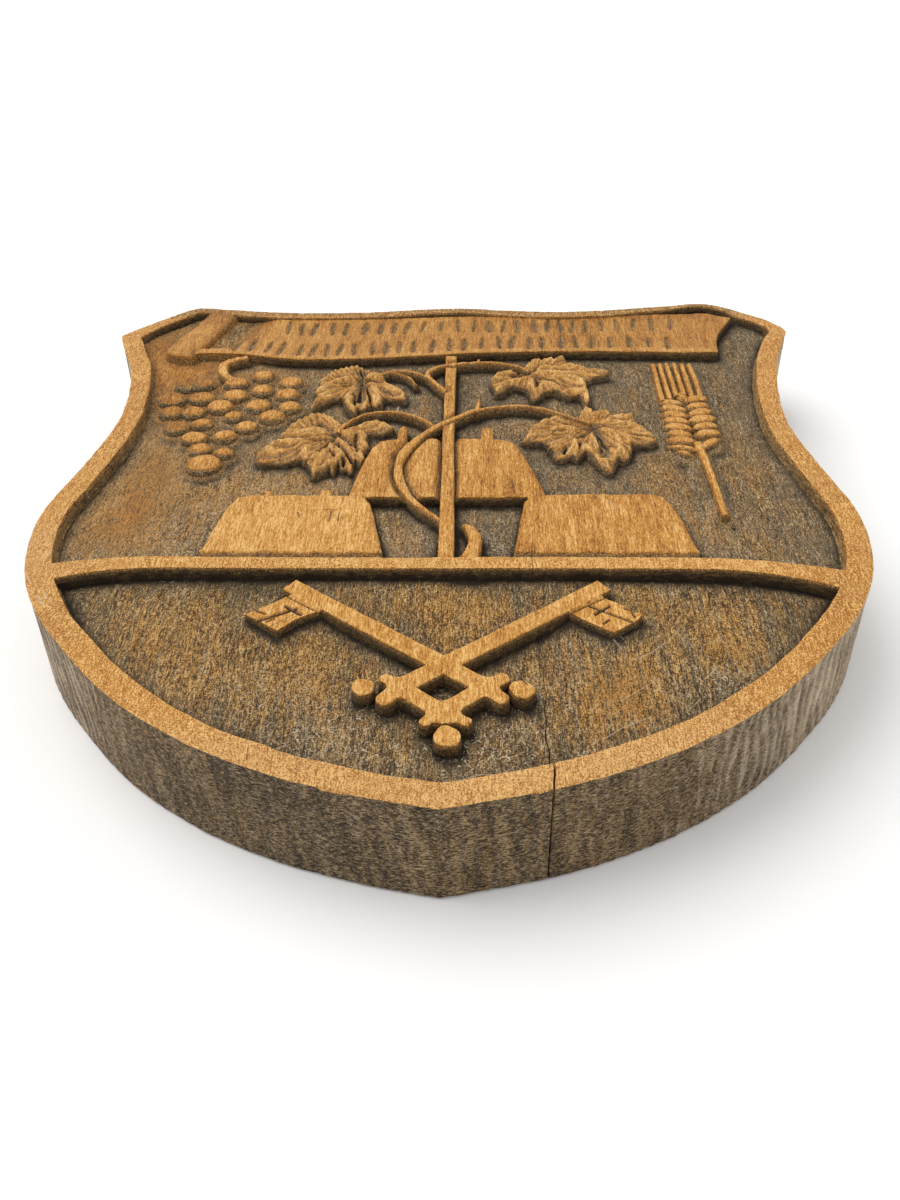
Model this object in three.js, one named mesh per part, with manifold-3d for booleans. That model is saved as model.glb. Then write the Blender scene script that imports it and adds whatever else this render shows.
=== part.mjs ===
// Carved coat of arms: a waisted shield cut from one thick plank, with its charges in low relief.
// Millimetres. The shield lies on its back: +X to the right, +Y to the top edge, +Z out of the face.
// The origin is the middle of the flat back.

import * as THREE from 'three';
import { mergeVertices } from 'three/addons/utils/BufferGeometryUtils.js';
import Module from 'manifold-3d';

// Board and outline. A rise is a height above the tip at the bottom of the shield, and the spans of the
// ears and peaks are those of the corners before they are rounded.
const BOARD_THICKNESS = 45;
const SHIELD_HEIGHT = 374;
const EAR_SPAN = 363;
const BELLY_SPAN = 341;
const WAIST_SPAN = 316;
const PEAK_SPAN = 286;
const BELLY_RISE = 156;
const WAIST_RISE = 246;
const EAR_RISE = 337;
const TIP_ANGLE = 8;
const TOP_DIP = 9;
const TOP_CREST_DROP = 3.5;
const CORNER_ROUND = 9;

// Relief, rim and dividing bar
const RELIEF_DEPTH = 5.6;
const RIM_WIDTH = 10;
const TOP_RIM_WIDTH = 6;
const BAR_WIDTH = 7.5;
const BAR_RISE = 126.5;
const BAR_END_DROP = 6.5;
const BAR_END_FLARE = 3.5;

// Banner with its rolled left end, and the strokes cut in it
const BANNER_WIDTH = 275;
const BANNER_HEIGHT = 54;
const BANNER_RISE = 308.5;
const BANNER_SLANT = 14;
const ROLL_RADIUS = 6.5;
const ROLL_LEAN = 20;
const STROKE_ROWS = 2;
const STROKE_LENGTH = 14;
const STROKE_WIDTH = 2;
const STROKE_DEPTH = 0.9;
const STROKE_PITCH = 9.5;
const STROKE_ROW_PITCH = 20;

// Grapes, leaves and vine
const BUNCH_HEIGHT = 104;
const GRAPE_RADIUS = 5.8;
const LEAF_REACH = 40;
const LOBE_WIDTH = 19;
const VEIN_WIDTH = 1.8;
const VEIN_DEPTH = 1.6;
const VINE_WIDTH = 5;
const STAKE_WIDTH = 5.4;

// Mounds
const MOUND_WIDTH = 74;
const MOUND_HEIGHT = 43.5;
const MOUND_SPREAD = 63.3;
const TOP_MOUND_WIDTH = 79;
const TOP_MOUND_HEIGHT = 49;
const MOUND_TAPER = 11;
const MOUND_CORNER = 8;
const MOUND_NUB = 5;
const MOUND_STEP = 1;

// Wheat ear
const AWN_COUNT = 7;
const AWN_LENGTH = 41;
const AWN_WIDTH = 1.7;
const EAR_WIDTH = 21;
const KERNEL_ROWS = 7;
const KERNEL_LENGTH = 9.5;
const KERNEL_PITCH = 6.4;
const STALK_LENGTH = 56;
const STALK_WIDTH = 4;

// Crossed keys
const KEY_ANGLE = 39.5;
const KEY_LENGTH = 75;
const KEY_BAR_WIDTH = 7.4;
const KEY_CROSSING_RISE = 67;
const KEY_BIT_LENGTH = 20;
const KEY_BIT_WIDTH = 15;
const KEY_BOW_WIDTH = 31;
const KEY_LOBE_RADIUS = 3;
const KEY_KNOB_RADIUS = 4.7;
const KEY_CUT_WIDTH = 1.4;
const KEY_CUT_DEPTH = 1.2;

// Heights that follow from the sizes above
const FACE_Z = BOARD_THICKNESS;
const GROUND_Z = FACE_Z - RELIEF_DEPTH;
const ROOT_Z = GROUND_Z - RELIEF_DEPTH / 4;
const TIP_Y = -SHIELD_HEIGHT / 2;
const WELD = 1e-4;
const RIM_TOLERANCE = 0.05;

const wasm = await Module();
wasm.setup();

// A place on the shield: across is a share of half the belly's span, up a share of the height.
const place = (across, up) => new THREE.Vector2((across * BELLY_SPAN) / 2, TIP_Y + up * SHIELD_HEIGHT);

const radians = THREE.MathUtils.degToRad;

function solidOf(geometry) {
  const bare = geometry.clone();
  bare.deleteAttribute('normal');
  bare.deleteAttribute('uv');
  const merged = mergeVertices(bare, WELD);
  const mesh = new wasm.Mesh({
    numProp: 3,
    vertProperties: Float32Array.from(merged.attributes.position.array),
    triVerts: Uint32Array.from(merged.index.array),
  });
  return new wasm.Manifold(mesh);
}

function joined(solids) {
  return solids.reduce((whole, solid) => whole.add(solid));
}

// A flat-topped plate with the given outline, standing from base to top
function plate(shape, base, top, segments = 6) {
  const geometry = new THREE.ExtrudeGeometry(shape, {
    depth: top - base,
    bevelEnabled: false,
    curveSegments: segments,
  });
  geometry.translate(0, 0, base);
  return solidOf(geometry);
}

// A straight bar between two points, with square ends
function bar(from, to, width, base, top) {
  const along = to.clone().sub(from);
  const geometry = new THREE.BoxGeometry(along.length(), width, top - base);
  geometry.rotateZ(along.angle());
  const middle = from.clone().lerp(to, 0.5);
  geometry.translate(middle.x, middle.y, (base + top) / 2);
  return solidOf(geometry);
}

function disc(centre, radius, base, top, sides = 16) {
  const geometry = new THREE.CylinderGeometry(radius, radius, top - base, sides);
  geometry.rotateX(Math.PI / 2);
  geometry.translate(centre.x, centre.y, (base + top) / 2);
  return solidOf(geometry);
}

// An ellipsoid that shows as a dome over the ground
function dome(centre, halfLength, halfWidth, height, angle, sides = 10, rings = 4) {
  const geometry = new THREE.SphereGeometry(1, sides, rings);
  geometry.rotateX(Math.PI / 2);
  geometry.scale(halfLength, halfWidth, height);
  geometry.rotateZ(angle);
  geometry.translate(centre.x, centre.y, GROUND_Z);
  return solidOf(geometry);
}

// A V-shaped cut along a line, tapering to a point at its far end
function groove(from, to, width, depth, top) {
  const along = to.clone().sub(from);
  const side = new THREE.Vector2(-along.y, along.x).normalize().multiplyScalar(width / 2);
  const above = top + depth;
  const points = [
    [from.x + side.x * 2, from.y + side.y * 2, above],
    [from.x - side.x * 2, from.y - side.y * 2, above],
    [from.x, from.y, top - depth],
    [to.x, to.y, above],
  ];
  const geometry = new THREE.BufferGeometry();
  geometry.setAttribute('position', new THREE.Float32BufferAttribute(points.flat(), 3));
  geometry.setIndex([0, 2, 1, 0, 1, 3, 1, 2, 3, 2, 0, 3]);
  return solidOf(geometry);
}

// A raised stem along a smooth curve through the given places
function stem(shares, width, top, steps) {
  const points = shares.map(([across, up]) => {
    const spot = place(across, up);
    return new THREE.Vector3(spot.x, spot.y, 0);
  });
  const path = new THREE.CatmullRomCurve3(points);
  const halfHeight = (top - ROOT_Z) / 2;
  const section = new THREE.Shape();
  section.absellipse(0, 0, halfHeight, width / 2, 0, Math.PI * 2);
  const geometry = new THREE.ExtrudeGeometry(section, {
    steps,
    curveSegments: 3,
    extrudePath: path,
    bevelEnabled: false,
  });
  geometry.translate(0, 0, ROOT_Z + halfHeight);
  return solidOf(geometry);
}

// The shield's outline from the tip up its right side and along the top, then mirrored
function outlinePoints() {
  const belly = new THREE.Vector2(BELLY_SPAN / 2, TIP_Y + BELLY_RISE);
  const waist = new THREE.Vector2(WAIST_SPAN / 2, TIP_Y + WAIST_RISE);
  const ear = new THREE.Vector2(EAR_SPAN / 2, TIP_Y + EAR_RISE);
  const peak = new THREE.Vector2(PEAK_SPAN / 2, TIP_Y + SHIELD_HEIGHT);
  const crest = new THREE.Vector2(0, peak.y - TOP_CREST_DROP);
  const dip = new THREE.Vector2(peak.x * 0.43, peak.y - TOP_DIP);
  const tipReach = belly.x * 0.61;
  const earSlope = ear.clone().sub(waist).multiplyScalar(0.3);

  const toCorner = (corner, from) => {
    const back = from.clone().sub(corner);
    return corner.clone().add(back.multiplyScalar(CORNER_ROUND / back.length()));
  };
  const right = new THREE.Path();
  right.moveTo(0, TIP_Y);
  right.bezierCurveTo(
    tipReach, TIP_Y + tipReach * Math.tan(radians(TIP_ANGLE)),
    belly.x, belly.y - BELLY_RISE * 0.42,
    belly.x, belly.y,
  );
  const handle = (WAIST_RISE - BELLY_RISE) * 0.37;
  right.bezierCurveTo(belly.x, belly.y + handle, waist.x, waist.y - handle, waist.x, waist.y);
  const earStart = toCorner(ear, ear.clone().sub(earSlope));
  right.bezierCurveTo(
    waist.x, waist.y + handle,
    earStart.x - earSlope.x, earStart.y - earSlope.y,
    earStart.x, earStart.y,
  );
  const earEnd = toCorner(ear, peak);
  right.quadraticCurveTo(ear.x, ear.y, earEnd.x, earEnd.y);
  const peakStart = toCorner(peak, ear);
  right.lineTo(peakStart.x, peakStart.y);
  const peakEnd = toCorner(peak, dip);
  right.quadraticCurveTo(peak.x, peak.y, peakEnd.x, peakEnd.y);
  right.quadraticCurveTo((peak.x + dip.x) / 2, dip.y, dip.x, dip.y);
  right.bezierCurveTo(dip.x * 0.6, dip.y, dip.x * 0.4, crest.y, crest.x, crest.y);

  const points = right.getPoints(12);
  const last = points.length - 1;
  const mirrored = points.slice(1, last).reverse();
  return points.concat(mirrored.map((point) => new THREE.Vector2(-point.x, point.y)));
}

// How far a point is from the nearest edge of a closed outline
function distanceTo(outline, point) {
  const nearest = new THREE.Vector3();
  const target = new THREE.Vector3(point.x, point.y, 0);
  const edge = new THREE.Line3();
  const distances = outline.map((corner, index) => {
    const next = outline[(index + 1) % outline.length];
    edge.start.set(corner.x, corner.y, 0);
    edge.end.set(next.x, next.y, 0);
    return edge.closestPointToPoint(target, true, nearest).distanceTo(target);
  });
  return Math.min(...distances);
}

// Each point of a closed outline moved inwards, by a width that may change along it. At a corner tighter
// than that width, the points that would cross over each other are left out.
function inset(points, widthAt) {
  const count = points.length;
  const moved = points.map((point, index) => {
    const before = points[(index + count - 1) % count];
    const after = points[(index + 1) % count];
    const arriving = point.clone().sub(before).normalize();
    const leaving = after.clone().sub(point).normalize();
    const inward = new THREE.Vector2(-arriving.y - leaving.y, arriving.x + leaving.x).normalize();
    const spread = Math.max(0.5, inward.dot(new THREE.Vector2(-arriving.y, arriving.x)));
    return point.clone().add(inward.multiplyScalar(widthAt(point) / spread));
  });
  return moved.filter((spot, index) => distanceTo(points, spot) > widthAt(points[index]) - RIM_TOLERANCE);
}

// The rim is narrower round the top than at the sides and the bottom
function rimWidthAt(point) {
  const earY = TIP_Y + EAR_RISE;
  const topShare = THREE.MathUtils.smoothstep(point.y, earY, TIP_Y + SHIELD_HEIGHT);
  return THREE.MathUtils.lerp(RIM_WIDTH, TOP_RIM_WIDTH, topShare);
}

// The bar between the two fields, straight in the middle and bending down to the rim at its ends
function dividingBar(block) {
  const reach = BELLY_SPAN / 2;
  const bendStart = reach * 0.65;
  const middleY = TIP_Y + BAR_RISE;
  const shape = new THREE.Shape();
  const endTop = middleY + BAR_WIDTH / 2 - BAR_END_DROP;
  const endBottom = middleY - BAR_WIDTH / 2 - BAR_END_DROP - BAR_END_FLARE;
  shape.moveTo(-reach + RIM_WIDTH / 2, endBottom);
  shape.quadraticCurveTo(-bendStart, middleY - BAR_WIDTH / 2, -bendStart * 0.9, middleY - BAR_WIDTH / 2);
  shape.lineTo(bendStart * 0.9, middleY - BAR_WIDTH / 2);
  shape.quadraticCurveTo(bendStart, middleY - BAR_WIDTH / 2, reach - RIM_WIDTH / 2, endBottom);
  shape.lineTo(reach - RIM_WIDTH / 2, endTop);
  shape.quadraticCurveTo(bendStart * 1.1, middleY + BAR_WIDTH / 2, bendStart, middleY + BAR_WIDTH / 2);
  shape.lineTo(-bendStart, middleY + BAR_WIDTH / 2);
  shape.quadraticCurveTo(-bendStart * 1.1, middleY + BAR_WIDTH / 2, -reach + RIM_WIDTH / 2, endTop);
  return plate(shape, ROOT_Z, FACE_Z).intersect(block);
}

function board() {
  const outline = outlinePoints();
  const block = plate(new THREE.Shape(outline), 0, FACE_Z);
  const pocket = plate(new THREE.Shape(inset(outline, rimWidthAt)), GROUND_Z, FACE_Z + 1);
  return block.subtract(pocket).add(dividingBar(block));
}

// The banner's two edges from left to right: [share of its width from the middle, share of its height]
const BANNER_LOWER_EDGE = [[-0.5, 0.16], [-0.43, 0.14], [-0.36, 0.07], [-0.27, 0], [-0.2, 0], [-0.1, 0.04],
  [0, 0.11], [0.12, 0.16], [0.3, 0.17], [0.5, 0.13]];
const BANNER_UPPER_EDGE = [[0.5, 1], [0.34, 0.99], [0.2, 0.97], [0, 0.98], [-0.14, 0.92], [-0.28, 0.91],
  [-0.36, 0.97], [-0.42, 1.08]];

// The banner: a waved plate with a slanted right end and a roll over its left end
function banner() {
  const low = TIP_Y + BANNER_RISE;
  const high = low + BANNER_HEIGHT;
  const left = -BANNER_WIDTH / 2;
  const right = BANNER_WIDTH / 2;
  const spot = ([across, up]) => new THREE.Vector2(across * BANNER_WIDTH, low + up * BANNER_HEIGHT);
  const shape = new THREE.Shape();
  const start = spot(BANNER_LOWER_EDGE[0]);
  shape.moveTo(start.x, start.y);
  shape.splineThru(BANNER_LOWER_EDGE.slice(1).map(spot));
  shape.quadraticCurveTo(right, low + BANNER_HEIGHT * 0.6, right + BANNER_SLANT, high - BANNER_HEIGHT * 0.12);
  shape.lineTo(right, high);
  shape.splineThru(BANNER_UPPER_EDGE.slice(1).map(spot));
  const cloth = plate(shape, ROOT_Z, FACE_Z - MOUND_STEP / 2, 2);

  const rollFoot = new THREE.Vector2(left - ROLL_RADIUS * 1.2, start.y);
  const rollHead = new THREE.Vector2(rollFoot.x + ROLL_LEAN, high + ROLL_RADIUS * 0.3);
  const rollAlong = rollHead.clone().sub(rollFoot);
  const rollBody = new THREE.CylinderGeometry(ROLL_RADIUS, ROLL_RADIUS, rollAlong.length(), 14);
  rollBody.rotateZ(rollAlong.angle() - Math.PI / 2);
  const rollMiddle = rollFoot.clone().lerp(rollHead, 0.5);
  rollBody.translate(rollMiddle.x, rollMiddle.y, FACE_Z - ROLL_RADIUS);
  const roll = solidOf(rollBody);

  const fold = new THREE.Shape();
  fold.moveTo(rollFoot.x + ROLL_RADIUS * 1.6, rollFoot.y + BANNER_HEIGHT * 0.1);
  fold.lineTo(rollHead.x + ROLL_RADIUS * 2.4, high + ROLL_RADIUS);
  fold.lineTo(rollHead.x, high + ROLL_RADIUS);
  const hollow = plate(fold, FACE_Z - RELIEF_DEPTH * 0.6, FACE_Z + 1);
  return cloth.subtract(hollow).add(roll);
}

// Rows of separate short cuts on the banner, each leaning a little its own way
function bannerStrokes() {
  const cuts = [];
  const top = FACE_Z - MOUND_STEP / 2;
  const writing = BANNER_WIDTH - BANNER_SLANT * 3.5;
  const perRow = Math.floor(writing / STROKE_PITCH);
  const middleY = TIP_Y + BANNER_RISE + BANNER_HEIGHT * 0.53;
  for (let row = 0; row < STROKE_ROWS; row += 1) {
    for (let index = 0; index < perRow; index += 1) {
      const along = index / (perRow - 1);
      const x = (along - 0.44) * writing;
      const sag = BANNER_HEIGHT * 0.05 * Math.cos((along - 0.2) * Math.PI * 1.6);
      const y = middleY - sag + (row - (STROKE_ROWS - 1) / 2) * STROKE_ROW_PITCH;
      const lean = Math.sin(index * 2.4 + row) * STROKE_LENGTH * 0.14;
      const foot = new THREE.Vector2(x - lean, y - STROKE_LENGTH / 2);
      const head = new THREE.Vector2(x + lean, y + STROKE_LENGTH / 2);
      cuts.push(groove(head, foot, STROKE_WIDTH, STROKE_DEPTH, top));
    }
  }
  return joined(cuts);
}

// The bunch: rows of grapes as [height, places across], both as shares of the bunch's height
const GRAPE_ROWS = [
  [0.97, [0.14]],
  [0.89, [-0.14, 0.02, 0.28]],
  [0.86, [-0.24]],
  [0.81, [0.16]],
  [0.77, [0.03, 0.28]],
  [0.74, [-0.26, -0.13]],
  [0.66, [-0.03, 0.16]],
  [0.65, [0.31]],
  [0.61, [-0.22, -0.14]],
  [0.56, [0.06, 0.24]],
  [0.5, [-0.08]],
  [0.46, [-0.18, 0.14]],
  [0.38, [0.07]],
  [0.36, [-0.09]],
  [0.26, [-0.05, 0.08]],
];

function grapeBunch() {
  const tip = place(-0.654, 0.518);
  const grapes = GRAPE_ROWS.flatMap(([up, spots]) => spots.map((across) => {
    const centre = new THREE.Vector2(tip.x + across * BUNCH_HEIGHT, tip.y + up * BUNCH_HEIGHT);
    const height = RELIEF_DEPTH * (1 - Math.abs(across) * 0.7);
    return dome(centre, GRAPE_RADIUS, GRAPE_RADIUS, height, 0);
  }));
  const largest = new THREE.Vector2(tip.x, tip.y + GRAPE_RADIUS * 1.6);
  grapes.push(dome(largest, GRAPE_RADIUS * 1.7, GRAPE_RADIUS * 1.4, RELIEF_DEPTH, Math.PI / 2, 12));
  const hook = [[-0.645, 0.829], [-0.68, 0.821], [-0.698, 0.799], [-0.686, 0.778], [-0.65, 0.75]];
  grapes.push(stem(hook, VINE_WIDTH, FACE_Z - MOUND_STEP, 12));
  return joined(grapes);
}

// Leaves: where the vein hub is, and each lobe's direction in degrees with its share of the reach
const LEAVES = [
  { hub: [-0.264, 0.767], lobes: [[122, 0.42], [205, 0.64], [264, 0.88], [313, 0.7], [20, 0.46]] },
  { hub: [-0.311, 0.618], lobes: [[126, 0.56], [208, 0.98], [258, 0.84], [296, 0.66], [6, 0.52]] },
  { hub: [0.229, 0.789], lobes: [[48, 0.5], [0, 0.98], [311, 1], [277, 0.64], [226, 0.66]] },
  { hub: [0.393, 0.642], lobes: [[88, 0.36], [24, 0.46], [334, 0.8], [274, 1.04], [232, 0.82], [203, 0.92]] },
];

// One lobe: pointed, with saw-like edges, sinking from the hub towards its tip
function lobe(hub, angle, length) {
  const teeth = 3;
  const widest = LOBE_WIDTH * Math.min(1, 0.35 + (0.65 * length) / LEAF_REACH);
  const edge = [new THREE.Vector2(-length * 0.1, 0)];
  for (let tooth = 0; tooth < teeth; tooth += 1) {
    for (const [step, fullness] of [[0.25, 0.72], [0.85, 1]]) {
      const along = (tooth + step) / (teeth + 0.35);
      const half = (widest / 2) * Math.sin(Math.PI * Math.pow(along, 0.75)) * fullness;
      edge.push(new THREE.Vector2(along * length, half));
    }
  }
  const far = edge.slice(1).reverse().map((point) => new THREE.Vector2(point.x, -point.y));
  const shape = new THREE.Shape([...edge, new THREE.Vector2(length, 0), ...far].reverse());
  const geometry = new THREE.ExtrudeGeometry(shape, { depth: FACE_Z - ROOT_Z, bevelEnabled: false });
  const position = geometry.attributes.position;
  for (let index = 0; index < position.count; index += 1) {
    if (position.getZ(index) > 0) {
      const sink = (RELIEF_DEPTH * 0.5 * Math.abs(position.getX(index))) / LEAF_REACH;
      position.setZ(index, position.getZ(index) - MOUND_STEP - sink);
    }
  }
  geometry.rotateZ(angle);
  geometry.translate(hub.x, hub.y, ROOT_Z);
  return solidOf(geometry);
}

function leaves() {
  const blades = [];
  const veins = [];
  for (const leaf of LEAVES) {
    const hub = place(...leaf.hub);
    blades.push(disc(hub, LOBE_WIDTH * 0.42, ROOT_Z, FACE_Z - MOUND_STEP * 1.4, 9));
    for (const [degrees, share] of leaf.lobes) {
      const length = share * LEAF_REACH;
      const direction = new THREE.Vector2(1, 0).rotateAround(new THREE.Vector2(), radians(degrees));
      blades.push(lobe(hub, radians(degrees), length));
      const end = hub.clone().add(direction.multiplyScalar(length * 0.85));
      veins.push(groove(hub, end, VEIN_WIDTH, VEIN_DEPTH, FACE_Z - MOUND_STEP * 1.6));
    }
  }
  return joined(blades).subtract(joined(veins));
}

// The vine's runs, as places on the shield
const VINE_RUNS = [
  { steps: 26, run: [[0.062, 0.348], [0.076, 0.377], [0.059, 0.404], [0.018, 0.417], [-0.029, 0.43],
    [-0.106, 0.479], [-0.132, 0.548], [-0.076, 0.612], [0.018, 0.658], [0.106, 0.683], [0.19, 0.689],
    [0.299, 0.671], [0.37, 0.65]] },
  { steps: 10, run: [[-0.05, 0.63], [-0.117, 0.666], [-0.2, 0.673], [-0.264, 0.66], [-0.3, 0.63]] },
  { steps: 12, run: [[-0.07, 0.76], [-0.07, 0.789], [-0.041, 0.802], [0.076, 0.814], [0.17, 0.809],
    [0.223, 0.791]] },
  { steps: 9, run: [[-0.06, 0.762], [-0.1, 0.781], [-0.16, 0.79], [-0.24, 0.775]] },
  { steps: 4, run: [[-0.07, 0.775], [-0.047, 0.751], [-0.005, 0.725]] },
  { steps: 3, run: [[0.064, 0.668], [0.07, 0.685], [0.076, 0.709]] },
];

function vine() {
  return joined(VINE_RUNS.map(({ run, steps }) => stem(run, VINE_WIDTH, FACE_Z - MOUND_STEP / 3, steps)));
}

function stake() {
  const foot = place(0, 0.345);
  const head = place(-0.006, 0.826);
  return bar(foot, head, STAKE_WIDTH, ROOT_Z, FACE_Z - MOUND_STEP / 4);
}

// A flat-topped mound with sloping sides, rounded shoulders and nubs on top
function mound(foot, width, height, nubShares) {
  const half = width / 2;
  const shoulder = half - MOUND_TAPER;
  const slope = new THREE.Vector2(-MOUND_TAPER, height).normalize().multiplyScalar(MOUND_CORNER);
  const shape = new THREE.Shape();
  shape.moveTo(foot.x - half, foot.y);
  shape.lineTo(foot.x + half, foot.y);
  shape.lineTo(foot.x + shoulder - slope.x, foot.y + height - slope.y);
  shape.quadraticCurveTo(
    foot.x + shoulder, foot.y + height,
    foot.x + shoulder - MOUND_CORNER, foot.y + height,
  );
  shape.lineTo(foot.x - shoulder + MOUND_CORNER, foot.y + height);
  shape.quadraticCurveTo(
    foot.x - shoulder, foot.y + height,
    foot.x - shoulder + slope.x, foot.y + height - slope.y,
  );
  const top = FACE_Z - MOUND_STEP;
  const nubs = nubShares.map((share) => {
    const nubFoot = new THREE.Vector2(foot.x + share * half, foot.y + height - MOUND_NUB);
    const nubHead = nubFoot.clone().setY(foot.y + height + MOUND_NUB);
    return bar(nubFoot, nubHead, MOUND_NUB, ROOT_Z, top);
  });
  return joined([plate(shape, ROOT_Z, top, 4), ...nubs]);
}

function mounds() {
  const lowerFoot = TIP_Y + BAR_RISE + BAR_WIDTH * 0.85;
  const upperFoot = lowerFoot + MOUND_HEIGHT - MOUND_STEP / 2;
  return joined([
    mound(new THREE.Vector2(0, upperFoot), TOP_MOUND_WIDTH, TOP_MOUND_HEIGHT, [-0.58, 0.46]),
    mound(new THREE.Vector2(-MOUND_SPREAD, lowerFoot), MOUND_WIDTH, MOUND_HEIGHT, [-0.42, 0.26]),
    mound(new THREE.Vector2(MOUND_SPREAD, lowerFoot), MOUND_WIDTH, MOUND_HEIGHT, []),
  ]);
}

// The wheat ear: a comb of awns, two columns of slanting kernels and a stalk
function wheatEar() {
  const neck = place(0.668, 0.585);
  const kernelTop = neck.y + KERNEL_ROWS * KERNEL_PITCH;
  const parts = [];
  for (let index = 0; index < AWN_COUNT; index += 1) {
    const x = neck.x + (index / (AWN_COUNT - 1) - 0.5) * (EAR_WIDTH - AWN_WIDTH);
    const from = new THREE.Vector2(x, kernelTop - KERNEL_PITCH);
    const to = new THREE.Vector2(x, kernelTop + AWN_LENGTH - KERNEL_PITCH / 2);
    parts.push(bar(from, to, AWN_WIDTH, ROOT_Z, FACE_Z - MOUND_STEP * 1.5));
  }
  for (let row = 0; row < KERNEL_ROWS; row += 1) {
    for (const side of [-1, 1]) {
      const centre = new THREE.Vector2(neck.x + side * EAR_WIDTH * 0.27, neck.y + (row + 0.5) * KERNEL_PITCH);
      const tilt = Math.PI / 2 - side * radians(62);
      parts.push(dome(centre, KERNEL_LENGTH / 2, KERNEL_PITCH * 0.56, RELIEF_DEPTH * 0.85, tilt, 8, 4));
    }
  }
  const tipKernel = new THREE.Vector2(neck.x, kernelTop + KERNEL_PITCH / 2);
  parts.push(dome(tipKernel, KERNEL_LENGTH / 2, KERNEL_PITCH / 2, RELIEF_DEPTH * 0.8, Math.PI / 2, 8, 4));
  const stalkFoot = new THREE.Vector2(neck.x + STALK_WIDTH * 0.6, neck.y - STALK_LENGTH);
  parts.push(bar(stalkFoot, neck, STALK_WIDTH, ROOT_Z, FACE_Z - MOUND_STEP * 1.5));
  return joined(parts);
}

// The crossed keys: bits at the top, and bows that share one pierced lozenge at the bottom
function crossedKeys() {
  const crossing = new THREE.Vector2(0, TIP_Y + KEY_CROSSING_RISE);
  const top = FACE_Z - MOUND_STEP / 4;
  const bowHalf = KEY_BOW_WIDTH / 2;
  const bowDrop = bowHalf * Math.tan(radians(KEY_ANGLE));
  const bowFoot = new THREE.Vector2(crossing.x, crossing.y - bowDrop * 2);
  const parts = [];
  const cuts = [];
  for (const side of [-1, 1]) {
    const outward = new THREE.Vector2(side * Math.cos(radians(KEY_ANGLE)), Math.sin(radians(KEY_ANGLE)));
    const across = new THREE.Vector2(outward.y * side, -outward.x * side);
    const shankEnd = crossing.clone().add(outward.clone().multiplyScalar(KEY_LENGTH));
    const bowSide = new THREE.Vector2(side * bowHalf, crossing.y - bowDrop);
    parts.push(bar(crossing, shankEnd, KEY_BAR_WIDTH, ROOT_Z, top));
    parts.push(bar(crossing, bowSide, KEY_BAR_WIDTH, ROOT_Z, top));
    parts.push(bar(bowSide, bowFoot, KEY_BAR_WIDTH, ROOT_Z, top));
    parts.push(trefoil(bowSide, new THREE.Vector2(side, 0), top));

    const bitRoot = shankEnd.clone().sub(outward.clone().multiplyScalar(KEY_BIT_WIDTH * 0.8));
    const bitEnd = bitRoot.clone().add(across.clone().multiplyScalar(KEY_BIT_LENGTH + KEY_BAR_WIDTH / 2));
    parts.push(bar(bitRoot, bitEnd, KEY_BIT_WIDTH, ROOT_Z, top));

    const cutStart = bitRoot.clone().lerp(bitEnd, 0.35);
    const cutEnd = bitRoot.clone().lerp(bitEnd, 0.92);
    cuts.push(bar(cutStart, cutEnd, KEY_CUT_WIDTH, top - KEY_CUT_DEPTH, top + 1));
    const armMiddle = bitRoot.clone().lerp(bitEnd, 0.48);
    const armReach = outward.clone().multiplyScalar(KEY_BIT_WIDTH * 0.24);
    const armStart = armMiddle.clone().sub(armReach);
    const armEnd = armMiddle.clone().add(armReach);
    cuts.push(bar(armStart, armEnd, KEY_CUT_WIDTH, top - KEY_CUT_DEPTH, top + 1));
  }
  parts.push(trefoil(bowFoot, new THREE.Vector2(0, -1), top));
  return joined(parts).subtract(joined(cuts));
}

// Two lobes side by side and a knob beyond them, pointing away from the bow
function trefoil(root, direction, top) {
  const side = new THREE.Vector2(-direction.y, direction.x);
  const lobeAt = root.clone().add(direction.clone().multiplyScalar(KEY_LOBE_RADIUS * 1.4));
  const knobAt = root.clone().add(direction.clone().multiplyScalar(KEY_LOBE_RADIUS * 2.2 + KEY_KNOB_RADIUS));
  const reach = side.clone().multiplyScalar(KEY_BAR_WIDTH * 0.75);
  const lobes = [-1, 1].map((sign) => lobeAt.clone().add(reach.clone().multiplyScalar(sign)));
  return joined([
    bar(lobes[0], lobes[1], KEY_LOBE_RADIUS * 1.6, ROOT_Z, top),
    bar(root, knobAt, KEY_BAR_WIDTH * 0.8, ROOT_Z, top),
    disc(lobes[0], KEY_LOBE_RADIUS, ROOT_Z, top, 12),
    disc(lobes[1], KEY_LOBE_RADIUS, ROOT_Z, top, 12),
    disc(knobAt, KEY_KNOB_RADIUS, ROOT_Z, top, 18),
  ]);
}

const relief = joined([
  board(),
  banner(),
  grapeBunch(),
  mounds(),
  leaves(),
  vine(),
  stake(),
  wheatEar(),
  crossedKeys(),
]);
const carved = relief.subtract(bannerStrokes());

const agedWood = new THREE.MeshStandardMaterial({ color: 0x9c7040, roughness: 0.6, metalness: 0 });

function meshOf(solid, name, material) {
  const { vertProperties, triVerts } = solid.getMesh();
  const geometry = new THREE.BufferGeometry();
  geometry.setAttribute('position', new THREE.BufferAttribute(new Float32Array(vertProperties), 3));
  geometry.setIndex(new THREE.BufferAttribute(new Uint32Array(triVerts), 1));
  geometry.computeVertexNormals();
  const mesh = new THREE.Mesh(geometry, material);
  mesh.name = name;
  return mesh;
}

const plaque = new THREE.Group();
plaque.add(meshOf(carved, 'carved_shield', agedWood));

export default plaque;
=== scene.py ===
"""Carved wooden coat of arms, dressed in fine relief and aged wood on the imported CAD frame.

The plan of the shield is in millimetres (x to the right, y to the top edge) until a mesh is made, and
every mesh is in metres in the CAD's own frame, lying on its back on the floor.
"""

import logging
import math
from collections.abc import Callable
from dataclasses import dataclass, field
from enum import Enum

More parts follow.
